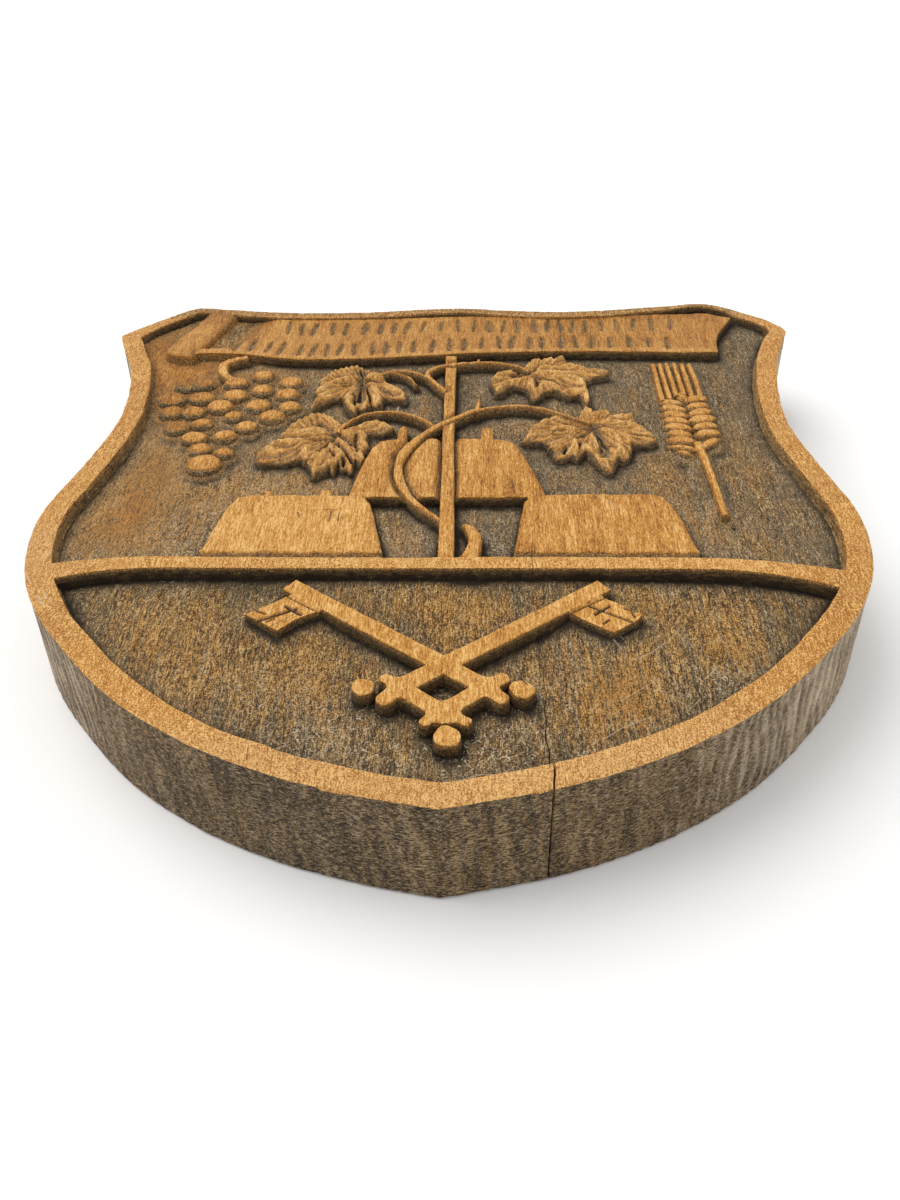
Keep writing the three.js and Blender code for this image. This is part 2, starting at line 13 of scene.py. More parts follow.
import bpy
import numpy as np
from mathutils import Matrix, Vector
from mathutils.geometry import delaunay_2d_cdt


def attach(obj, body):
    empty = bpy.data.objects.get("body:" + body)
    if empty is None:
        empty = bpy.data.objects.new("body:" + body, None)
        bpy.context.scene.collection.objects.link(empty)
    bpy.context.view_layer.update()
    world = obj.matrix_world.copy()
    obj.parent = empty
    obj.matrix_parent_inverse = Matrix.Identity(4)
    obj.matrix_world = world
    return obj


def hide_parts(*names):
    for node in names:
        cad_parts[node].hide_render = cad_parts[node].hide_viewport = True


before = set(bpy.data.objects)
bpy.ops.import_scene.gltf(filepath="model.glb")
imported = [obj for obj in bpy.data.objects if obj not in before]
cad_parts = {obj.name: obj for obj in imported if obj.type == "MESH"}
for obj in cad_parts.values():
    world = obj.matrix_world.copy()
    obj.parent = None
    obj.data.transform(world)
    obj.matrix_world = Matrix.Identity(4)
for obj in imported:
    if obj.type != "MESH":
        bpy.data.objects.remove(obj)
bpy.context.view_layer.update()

LOG = logging.getLogger("carved_shield")

MM = 0.001
# Heights above the back: the face, the grounds, the carved forms' feet, and the lowest marked wood
FACE_Z = 45.0
GROUND_Z = 39.4
FOOT_Z = 38.2
MARKED_Z = GROUND_Z - 1.5
SHARP_ANGLE = math.radians(52)
# Rows and columns of the noise tables
LATTICE = 128
GOUGE_TABLE = 64
# Points nearer to a contour than this share of a cell are moved onto it
SNAP_SHARE = 0.28

Array = np.ndarray
Pair = tuple[Array, Array]
Surface = tuple[Array, Array, Array]
Measure = Callable[[Array], Array]
Spot = tuple[float, float]
Line = Array | list[Spot] | tuple[Spot, ...]
Colours = tuple[tuple[float, float, float], ...]
Piece = bpy.types.Object
Material = bpy.types.Material
Socket = bpy.types.NodeSocket


class Charge(Enum):
    """The visual pieces, by the name that each one has in the scene."""

    FRAME = "shield_frame"
    UPPER_FIELD = "upper_field"
    LOWER_FIELD = "lower_field"
    BANNER = "banner"
    ROLL = "banner_roll"
    LEAVES = "vine_leaves"
    VINE = "vine_stems"
    STAKE = "vine_stake"
    GRAPES = "grape_bunch"
    MOUNDS = "three_mounds"
    WHEAT = "wheat_ear"
    STALK = "wheat_stalk"
    KEYS = "crossed_keys"


# Numbers over the plan


def ease(low: float, high: float, value: Array) -> Array:
    """A smooth step.

    Args:
        low: Value where the step is 0.
        high: Value where it is 1; it may be below low.
        value: Numbers to map.

    Returns:
        Numbers from 0 to 1.
    """
    share = np.clip((value - low) / (high - low), 0.0, 1.0)
    return share * share * (3.0 - 2.0 * share)


def bilinear(table: Array, near: Array, far: Array, part: Array) -> Array:
    """Reads a table between its cells.

    Args:
        table: The numbers, columns x rows.
        near: Cell before each point, n x 2.
        far: Cell after it.
        part: Its share of the way between them.

    Returns:
        One number for each point.
    """
    (x0, y0), (x1, y1), (u, v) = near.T, far.T, part.T
    low = table[x0, y0] * (1 - u) + table[x1, y0] * u
    high = table[x0, y1] * (1 - u) + table[x1, y1] * u
    return low * (1 - v) + high * v


def lattice(points: Array, size: float | Spot, seed: int) -> Array:
    """Smooth value noise.

    Args:
        points: Plan points, n x 2.
        size: Width of one cell, or its width and height.
        seed: Seed of the lattice's numbers.

    Returns:
        Noise from -1 to 1, one number for each point.
    """
    table = np.random.default_rng(seed).uniform(-1.0, 1.0, (LATTICE, LATTICE))
    scaled = points / np.asarray(size, float) + 64.37
    whole = np.floor(scaled).astype(int)
    part = scaled - whole
    return bilinear(table, whole % LATTICE, (whole + 1) % LATTICE, part * part * (3.0 - 2.0 * part))


def layered(points: Array, size: float | Spot, seed: int, layers: int = 3) -> Array:
    """Value noise in several layers, each half the size and half the strength of the one before."""
    sizes = np.asarray(size, float)
    total = sum(lattice(points, sizes / 2**n, seed + n) / 2**n for n in range(layers))
    return total / (2.0 - 0.5 ** (layers - 1))


def gouged(points: Array, pitch: float, lean: float, seed: int) -> Array:
    """The facets that a shallow gouge leaves.

    Args:
        points: Plan points, n x 2.
        pitch: Mean distance between cuts.
        lean: Direction of the cuts in radians.
        seed: Seed of the cuts' places.

    Returns:
        Heights from 0 at a facet's middle to about 1.
    """
    turn = np.array([[math.cos(lean), -math.sin(lean)], [math.sin(lean), math.cos(lean)]])
    local = (points @ turn) / (pitch * np.array([1.0, 2.6]))
    cell = np.floor(local).astype(int)
    table = np.random.default_rng(seed).uniform(0.0, 1.0, (GOUGE_TABLE, GOUGE_TABLE, 3))
    best = np.full(len(points), 9.0)
    for step in np.ndindex(3, 3):
        spot = cell + np.array(step) - 1
        value = table[spot[:, 0] % GOUGE_TABLE, spot[:, 1] % GOUGE_TABLE]
        gap = local - (spot + value[:, :2])
        best = np.minimum(best, gap[:, 0] ** 2 + gap[:, 1] ** 2 + 0.25 * value[:, 2])
    return best


def curve_through(points: Line, steps: int) -> Array:
    """A Catmull-Rom line.

    Args:
        points: Points that the line passes.
        steps: Pieces between two neighbouring points.

    Returns:
        Points of the line, n x 2.
    """
    given = np.asarray(points, float)
    padded = np.vstack([2 * given[0] - given[1], given, 2 * given[-1] - given[-2]])
    share = np.linspace(0, 1, steps, endpoint=False)[:, None]
    runs = []
    for before, start, end, after in zip(padded, padded[1:], padded[2:], padded[3:]):
        square = 2 * before - 5 * start + 4 * end - after
        cube = 3 * start - before - 3 * end + after
        runs.append(0.5 * (2 * start + (end - before) * share + square * share**2 + cube * share**3))
    return np.vstack([*runs, given[-1]])


def line_distance(points: Array, line: Line) -> Pair:
    """The distance to an open line.

    Args:
        points: Plan points, n x 2.
        line: The line's points.

    Returns:
        Distances, and how far along the line the nearest place is.
    """
    best = np.full(len(points), np.inf)
    along = np.zeros(len(points))
    travelled = 0.0
    for start, end in zip(np.asarray(line, float), np.asarray(line[1:], float)):
        run = end - start
        length = float(np.hypot(*run))
        share = np.clip(((points - start) @ run) / max(length * length, 1e-12), 0.0, 1.0)
        gap = points - start - share[:, None] * run
        squared = (gap * gap).sum(1)
        nearer = squared < best
        best = np.where(nearer, squared, best)
        along = np.where(nearer, travelled + share * length, along)
        travelled += length
    return np.sqrt(best), along


def outline_distance(points: Array, outline: Line) -> Array:
    """Signed distance to a closed outline, negative inside it."""
    ring = np.array([*outline, outline[0]], float)
    distance, _ = line_distance(points, ring)
    inside = np.zeros(len(points), bool)
    x, y = points.T
    for (x0, y0), (x1, y1) in zip(ring, ring[1:]):
        if y0 != y1:
            crosses = (y0 > y) != (y1 > y)
            inside ^= crosses & (x < x0 + (y - y0) * (x1 - x0) / (y1 - y0))
    return np.where(inside, -distance, distance)


def bar_distance(points: Array, start: tuple, end: tuple, width: float) -> Array:
    """Signed distance to a straight bar with square ends."""
    first, last = np.asarray(start, float), np.asarray(end, float)
    run = last - first
    length = float(np.hypot(*run))
    axis = run / length
    gap = points - (first + last) / 2
    over = np.abs(gap @ axis) - length / 2
    beside = np.abs(gap @ np.array([-axis[1], axis[0]])) - width / 2
    outside = np.hypot(np.maximum(over, 0), np.maximum(beside, 0))
    return outside + np.minimum(np.maximum(over, beside), 0)


def disc_distance(points: Array, centre: tuple, radius: float) -> Array:
    """Signed distance to a disc."""
    return np.hypot(points[:, 0] - centre[0], points[:, 1] - centre[1]) - radius


def nearest(measures: list[Measure]) -> Measure:
    """The measure of several forms together."""
    return lambda points: np.min([measure(points) for measure in measures], 0)


def blend_union(first: Array, second: Array, fillet: float) -> Array:
    """The union of two signed distances with a small fillet where they meet."""
    share = np.clip(0.5 + 0.5 * (second - first) / fillet, 0, 1)
    return second * (1 - share) + first * share - fillet * share * (1 - share)


def rounding(depth_inside: Array, radius: float) -> Array:
    """How far a worn arris has sunk, by the distance from the edge."""
    missing = radius - np.clip(depth_inside, 0, radius)
    return radius - np.sqrt(np.maximum(radius * radius - missing * missing, 0))


def round_patch(points: Array, x: float, y: float, size: float) -> Array:
    """A round patch that fades outwards from 1."""
    return np.exp(-((points[:, 0] - x) ** 2 + (points[:, 1] - y) ** 2) / size**2)


# Pale scuffs and dark checks: start, end and half width of each, in plan
SCUFFS = (
    ((-153.5, -80), (-150.8, -83.4), 0.4), ((-155, -82.5), (-151.8, -86.6), 0.45),
    ((-152.6, -86.6), (-150.4, -89), 0.3), ((-149.2, -84), (-147.6, -87.5), 0.25),
    ((-163, -69), (-161, -73), 0.3), ((-147, -101.5), (-145.2, -104), 0.25),
    ((-132.5, -118.5), (-130.4, -120.6), 0.3), ((64, -10.4), (68, -15.5), 0.25),
    ((68, -15.5), (73, -20), 0.2), ((62.4, -102.5), (64.4, -106), 0.3), ((-27, 72), (-26.4, 77.5), 0.55),
    ((-29.2, 67), (-27.6, 65), 0.35), ((55, -151), (61, -146), 0.16), ((61, -146), (71, -141), 0.2),
    ((68, -112), (76, -107), 0.2), ((76, -107), (83, -100), 0.2), ((83, -100), (88, -93), 0.16),
    ((84, -138), (89, -132), 0.16), ((93, -121), (98, -115), 0.2), ((106, -129), (111, -124), 0.16),
    ((62, -133), (72, -125), 0.12), ((72, -125), (79, -119), 0.12), ((112, -111), (120, -107), 0.12),
    ((96, -103), (103, -98), 0.14), ((-80, -141), (-73, -142.5), 0.16), ((-52, -164), (-46, -160), 0.18),
    ((-57, -158), (-50, -155), 0.14), ((-42, -161), (-37, -156), 0.16), ((5, -171), (13, -167.8), 0.2),
    ((13, -167.8), (22, -167.4), 0.16), ((17, -172.4), (27, -170.6), 0.14),
    ((-96, -118), (-90, -119), 0.12), ((-66, -118), (-60, -119), 0.12),
)
CHECKS = (
    ((-61.9, -157), (-61.2, -166.5), 0.1), ((-55.2, -161), (-54.8, -165), 0.07),
    ((-45.3, -165), (-44.6, -173), 0.08), ((-49, -23), (-49, -30), 0.3), ((-45.6, -24), (-45.4, -31), 0.25),
    ((-52, -21.5), (-47, -21.8), 0.2), ((-63, -24), (-62, -27), 0.3), ((27, -127), (29.6, -131), 0.25),
    ((-2.6, -151.4), (2, -149.6), 0.2), ((2, -149.6), (6.4, -150.8), 0.2), ((49, -115), (56, -118.4), 0.2),
    ((34, -55), (34.2, -65), 0.14), ((-64, -99), (-52, -88), 0.14), ((10, -150), (14, -155), 0.2),
)


def nearness(points: Array, lines: tuple) -> Pair:
    """Where points lie beside some short lines.

    Args:
        points: Plan points, n x 2.
        lines: Start, end and half width of each line.

    Returns:
        A number from 1 on the nearest line to 0 two millimetres away, and the signed offset from it, 0.5
        on its middle and 0.05 more or less at its edges.
    """
    closest, offset = np.full(len(points), 9.0), np.ones(len(points))
    for start, end, half in lines:
        run = np.subtract(end, start) / math.dist(start, end)
        gap, _ = line_distance(points, (start, end))
        beside = (points - np.array(start)) @ np.array([-run[1], run[0]])
        offset = np.where(gap < closest, 0.5 + 0.05 * beside / half, offset)
        closest = np.minimum(closest, gap)
    return 1 - closest / 2.0, offset


class Raster:
    """A measure worked out once on a fine raster and read between its points afterwards."""

    def __init__(self, measure: Measure, low: Spot, high: Spot, cell: float) -> None:
        """Works the raster out.

        Args:
            measure: The measure to keep.
            low: Lowest corner.
            high: Highest corner.
            cell: Pitch.
        """
        self.low, self.cell = np.asarray(low, float), cell
        columns, rows = (int((end - start) / cell) + 2 for start, end in zip(low, high))
        spots = np.indices((columns, rows)).reshape(2, -1).T * cell + self.low
        self.values = measure(spots).reshape(columns, rows)

    def __call__(self, points: Array) -> Array:
        """The measure at the given plan points."""
        local = np.clip((points - self.low) / self.cell, 0, np.array(self.values.shape) - 1.001)
        whole = local.astype(int)
        return bilinear(self.values, whole, whole + 1, local - whole)


def numbered(faces: Array) -> Pair:
    """The points that some faces or edges use, and the faces with their places among them."""
    used, places = np.unique(faces, return_inverse=True)
    return used, places.reshape(faces.shape)


def trimmed(plan: Array, triangles: Array) -> Pair:
    """A plan without the points that no triangle uses."""
    used, triangles = numbered(triangles)
    return plan[used], triangles


def raised(plan: Array, level: Array | float) -> Array:
    """Points with one more coordinate."""
    return np.column_stack([plan, np.broadcast_to(level, len(plan))])


# Plans cut along contours


def plan_grid(low: Spot, high: Spot, cell: float) -> Pair:
    """A sheet of near-equilateral triangles.

    Args:
        low: Lowest corner.
        high: Highest corner.
        cell: Length of a triangle's side.

    Returns:
        Points, n x 2, and triangles, m x 3.
    """
    row_step = cell * math.sqrt(3) / 2
    columns = int((high[0] - low[0]) / cell) + 3
    rows = int((high[1] - low[1]) / row_step) + 3
    column, row = np.meshgrid(np.arange(columns), np.arange(rows))
    x = low[0] - cell + (column + 0.5 * (row % 2)) * cell
    y = low[1] - row_step + row * row_step
    index = row * columns + column
    a, b = index[:-1, :-1], index[:-1, 1:]
    c, d = index[1:, :-1], index[1:, 1:]
    even = (row[:-1, :-1] % 2 == 0)[..., None]
    first = np.where(even, np.stack([a, b, c], -1), np.stack([a, b, d], -1))
    second = np.where(even, np.stack([b, d, c], -1), np.stack([a, d, c], -1))
    triangles = np.concatenate([first.reshape(-1, 3), second.reshape(-1, 3)])
    return np.stack([x.ravel(), y.ravel()], 1), triangles


def sides(triangles: Array) -> Array:
    """The directed edges of some triangles."""
    return np.concatenate([triangles[:, [0, 1]], triangles[:, [1, 2]], triangles[:, [2, 0]]])


def slope(measure: Measure, points: Array, step: float = 0.02) -> Array:
    """The direction in which a measure grows fastest, as unit vectors."""
    rise = np.stack([measure(points + shift) - measure(points - shift) for shift in np.eye(2) * step], 1)
    return rise / np.maximum(np.hypot(rise[:, 0], rise[:, 1]), 1e-9)[:, None]


def cut_plan(points: Array, triangles: Array, measure: Measure, snap: float) -> Surface:
    """Cuts a plan along the contour where a measure is zero.

    Args:
        points: Plan points, n x 2.
        triangles: Triangles over them.
        measure: Signed distance whose zero is the contour.
        snap: Points nearer than this are moved onto the contour.

    Returns:
        The points with new ones added, the triangles inside (below zero), and those outside.
    """
    points = points.copy()
    value = measure(points)
    near = np.abs(value) < snap
    points[near] -= slope(measure, points[near]) * value[near, None]
    value[near] = 0.0
    sign = np.sign(value).astype(int)
    corner = sign[triangles]
    below, above = (corner < 0).any(1), (corner > 0).any(1)
    flat = np.flatnonzero(~below & ~above)
    if len(flat):
        middle = measure(points[triangles[flat]].mean(1))
        below[flat[middle < 0]] = True
        above[flat[middle >= 0]] = True
    mixed = below & above
    inside, outside = [triangles[below & ~mixed]], [triangles[above & ~mixed]]
    split = triangles[mixed]
    if not len(split):
        return points, inside[0], outside[0]
    edges = sides(split)
    keys = np.unique(np.sort(edges[sign[edges[:, 0]] * sign[edges[:, 1]] < 0], 1), axis=0)
    start, end = points[keys[:, 0]], points[keys[:, 1]]
    low, high = value[keys[:, 0]], value[keys[:, 1]]
    fresh = start + (end - start) * (low / (low - high))[:, None]
    for _ in range(3):
        here = measure(fresh)
        same = np.sign(here) == np.sign(low)
        start, low = np.where(same[:, None], fresh, start), np.where(same, here, low)
        end, high = np.where(same[:, None], end, fresh), np.where(same, high, here)
        gap = np.where(np.abs(low - high) < 1e-12, 1.0, low - high)
        fresh = start + (end - start) * np.clip(low / gap, 0.02, 0.98)[:, None]
    base = len(points)
    code = keys[:, 0].astype(np.int64) * base + keys[:, 1]

    def middle_of(one: Array, two: Array) -> Array:
        """The new point on each of the given crossed edges."""
        pair = np.sort(np.stack([one, two], 1), 1)
        return base + np.searchsorted(code, pair[:, 0].astype(np.int64) * base + pair[:, 1])

    def share_out(part: Array, owner: Array) -> None:
        """Puts each new triangle on the side where its owner corner is."""
        inside.append(part[sign[owner] < 0])
        outside.append(part[sign[owner] > 0])

    corner = sign[split]
    on_line = (corner == 0).any(1)
    lone = np.argmax(corner == -np.sign(corner.sum(1))[:, None], 1)
    rolled = np.where(on_line, np.argmax(corner == 0, 1), lone)
    turned = np.take_along_axis(split, (rolled[:, None] + np.arange(3)) % 3, 1)
    first, second, third = turned[on_line].T
    new = middle_of(second, third)
    share_out(np.stack([first, second, new], 1), second)
    share_out(np.stack([first, new, third], 1), third)
    first, second, third = turned[~on_line].T
    one, two = middle_of(first, second), middle_of(third, first)
    share_out(np.stack([first, one, two], 1), first)
    share_out(np.stack([one, second, third], 1), second)
    share_out(np.stack([one, third, two], 1), second)
    return np.vstack([points, fresh]), np.concatenate(inside), np.concatenate(outside)


def border_edges(triangles: Array) -> Array:
    """The directed edges that only one triangle has."""
    edges = sides(triangles).astype(np.int64)
    size = int(triangles.max()) + 1
    return edges[~np.isin(edges[:, 0] * size + edges[:, 1], edges[:, 1] * size + edges[:, 0])]


def cap_triangles(points: Array, edges: Array, inside: Measure, extra: tuple | Array = ()) -> Pair:
    """Fills closed borders with triangles.

    Args:
        points: Border points, n x 2.
        edges: Border edges as places among them.
        inside: Signed distance that is negative where the fill is wanted.
        extra: More points to use inside the border, k x 2.

    Returns:
        All points with the border's first and in their given order, and the triangles.
    """
    everything = np.vstack([points, np.reshape(extra, (-1, 2))])
    coordinates = [Vector(p) for p in everything.tolist()]
    out, _, faces, origin, _, _ = delaunay_2d_cdt(coordinates, edges.tolist(), [], 1, 1e-9)
    order = np.array([ids[0] if ids else -1 for ids in origin])
    if (order < 0).any() or len(out) != len(coordinates):
        LOG.warning("a border has %d merged points", len(coordinates) - len(out))
    mapped = order[np.array(faces)]
    return everything, mapped[inside(everything[mapped].mean(1)) < 0]


@dataclass
class Skin:
    """A closed surface under way: points in millimetres, triangles and what the finish reads."""

    chalk: Measure | None = None
    points: list[Array] = field(default_factory=list)
    marks: list[Array] = field(default_factory=list)
    triangles: list[Array] = field(default_factory=list)
    slots: list[Array] = field(default_factory=list)
    count: int = 0

    def add_points(self, points: Array, wear_and_light: Array | float, grime_and_shade: Array | float) -> Array:
        """Adds points with their wear and painted light, and their grime and painted shade.

        Args:
            points: Points in millimetres, n x 3.
            wear_and_light: How pale each one is from wear and painted light, 0 to 1.
            grime_and_shade: How dark each one is from grime and painted shade, 0 to 1.

        Returns:
            The points' places in the skin.
        """
        self.points.append(points)
        self.marks.append(np.array([np.broadcast_to(mark, len(points)) for mark in (wear_and_light, grime_and_shade)], float))
        self.count += len(points)
        return np.arange(self.count - len(points), self.count)

    def add_triangles(self, triangles: Array, slot: int = 0) -> None:
        """Adds triangles in one material slot."""
        self.triangles.append(triangles)
        self.slots.append(np.full(len(triangles), slot))

    def add_ring(self, places: Array, upper: Array, spots: Array, wear_and_light: Array | float,
                 grime_and_shade: Array | float, slot: int = 0) -> Array:
        """Adds a ring of points and the wall that joins it to the ring above.

        Args:
            places: The ring's edges, as places in the ring, running with the face on top.
            upper: Places of the ring above in the skin.
            spots: The new points.
            wear_and_light: Their wear and painted light.
            grime_and_shade: Their grime and painted shade.
            slot: Material slot of the wall.

        Returns:
            Places of the new ring in the skin.
        """
        lower = self.add_points(spots, wear_and_light, grime_and_shade)
        one, two = places.T
        self.add_triangles(np.stack([upper[two], upper[one], lower[one]], 1), slot)
        self.add_triangles(np.stack([upper[two], lower[one], lower[two]], 1), slot)
        return lower

    def to_object(self, name: str, *finishes: Material) -> Piece:
        """Makes the Blender object, with one material for each slot used."""
        used, triangles = numbered(np.concatenate(self.triangles))
        points = np.vstack(self.points)[used] * MM
        mesh = bpy.data.meshes.new(name)
        mesh.vertices.add(len(used))
        mesh.vertices.foreach_set("co", points.ravel())
        mesh.loops.add(triangles.size)
        mesh.loops.foreach_set("vertex_index", triangles.ravel())
        mesh.polygons.add(len(triangles))
        mesh.polygons.foreach_set("loop_start", np.arange(0, triangles.size, 3))
        mesh.polygons.foreach_set("material_index", np.concatenate(self.slots))
        mesh.update(calc_edges=True)
        for title, values in zip(("wear_and_light", "grime_and_shade"), np.hstack(self.marks)[:, used]):
            store(mesh, title, values)
        plan, on_top = points[:, :2] / MM, points[:, 2] > MARKED_Z * MM
        for title, lines in (("scuff", SCUFFS), ("check", CHECKS)):
            near, offset = nearness(plan, lines)
            store(mesh, title, near * on_top)
            store(mesh, title + "_offset", offset)
        if self.chalk:
            store(mesh, "chalk", self.chalk(plan))
        mesh.validate(verbose=False)
        mesh.polygons.foreach_set("use_smooth", np.ones(len(mesh.polygons), bool))
        mesh.set_sharp_from_angle(angle=SHARP_ANGLE)
        for finish in finishes:
            mesh.materials.append(finish)
        return link(name, mesh)


def store(mesh: bpy.types.Mesh, name: str, values: Array) -> None:
    """Writes one number for each point into a mesh attribute."""
    attribute = mesh.attributes.get(name) or mesh.attributes.new(name, "FLOAT", "POINT")
    attribute.data.foreach_set("value", np.clip(values, 0, 1).astype(np.float32))


def link(name: str, data: bpy.types.ID | None) -> Piece:
    """Makes an object and links it to the scene."""
    made = bpy.data.objects.new(name, data)
    bpy.context.scene.collection.objects.link(made)
    return made


def line_object(name: str, lines: list[tuple[Array, Array, float]]) -> Piece:
    """Makes a curve object of open lines.

    Args:
        name: The object's name.
        lines: Points, half widths and height of each line, in millimetres.

    Returns:
        The object.
    """
    data = bpy.data.curves.new(name, "CURVE")
    data.dimensions = "3D"
    for line, radii, level in lines:
        spline = data.splines.new("POLY")
        spline.points.add(len(line) - 1)
        spline.points.foreach_set("co", raised(raised(line, level) * MM, 1.0).ravel())
        spline.points.foreach_set("radius", radii * MM)
    return link(name, data)


# Carved forms


class Relief:
    """A form that is carved with its own outline and top, and stands in the ground.

    Each form has a measure, a low and a high corner, and a top that takes plan points and their distance
    inside the outline and gives heights, wear and painted light, and grime and painted shade.
    """

    cell = 0.6
    draft = 0.07
    wall_step = 1.3
    wall_grime_and_shade = 0.85

    def carve(self, skin: Skin) -> None:
        """Adds the form to a skin as one closed body."""
        plan, triangles = plan_grid(self.low, self.high, self.cell)
        plan, triangles, _ = cut_plan(plan, triangles, self.measure, self.cell * SNAP_SHARE)
        plan, triangles = trimmed(plan, triangles)
        height, wear_and_light, grime_and_shade = self.top(plan, np.maximum(-self.measure(plan), 0.0))
        top = skin.add_points(raised(plan, height), wear_and_light, grime_and_shade)
        skin.add_triangles(top[triangles])
        ring, places = numbered(border_edges(triangles))
        border, edge_height, upper = plan[ring], height[ring], top[ring]
        outward = slope(self.measure, border, 0.3)
        drop = edge_height - GROUND_Z
        facet = np.abs(lattice(border, 2.6, 30)) - 0.3
        # Painted shade on the walls: darker towards the foot, on walls turned to the camera, less in the
        # upper left corner
        facing = 0.8 + 0.2 * ease(0.3, -0.5, outward[:, 1])
        lighter_corner = ease(-92, -112, border[:, 0]) * ease(95, 118, border[:, 1])
        steps = max(2, math.ceil(float(drop.max()) / self.wall_step))
        for step in range(1, steps + 1):
            share = (step - 0.78) / (steps - 0.78)
            level = edge_height - drop * share - (0.3 if step == steps else 0.0)
            rough = lattice(np.column_stack([border.sum(1), level * 2.2]), 1.5, 31 + step)
            offset = self.draft * (edge_height - level) + (0.2 * facet + 0.16 * rough) * min(1.0, share * 4)
            dark = self.wall_grime_and_shade * facing * (0.72 + 0.34 * share) * (1 - 0.65 * lighter_corner) + 0.12 * rough
            wear_and_light, dark = (0.6, dark * 0.35) if step == 1 else (0.26, dark)
            spots = raised(border + outward * offset[:, None], level)
            upper = skin.add_ring(places, upper, spots, wear_and_light, dark)
        lower = skin.add_ring(places, upper, raised(border, FOOT_Z), 0, 1)
        _, fill = cap_triangles(border, places, self.measure)
        skin.add_triangles(lower[fill][:, ::-1])


@dataclass(frozen=True)
class BoardSize:
    """Sizes of the plank and its rim, in millimetres."""

    thickness: float = FACE_Z
    rim_width: float = 10.3
    waist_rim_width: float = 9.5
    ear_rim_width: float = 7.2
    top_rim_width: float = 5.8
    peak_rim_width: float = 3.6
    bar_top: float = -56.3
    bar_foot: float = -63.6
    bar_middle: float = -6.0
    bend_start: float = 104.0
    bend_length: float = 48.0
    bar_top_drop: float = 5.6
    bar_foot_drop: float = 9.5
    field_drop: float = 7.5
    let_in: float = 1.2
    face_cell: float = 0.98
    upper_cell: float = 0.96
    lower_cell: float = 0.8
    back_cell: float = 9.0
    flute_pitch: float = 5.2
    flute_depth: float = 0.5
    crack_x: float = 34.8
    crack_lean: float = -0.012
    crack_width: float = 0.42
    field_crack_width: float = 0.26
    crack_depth: float = 3.2


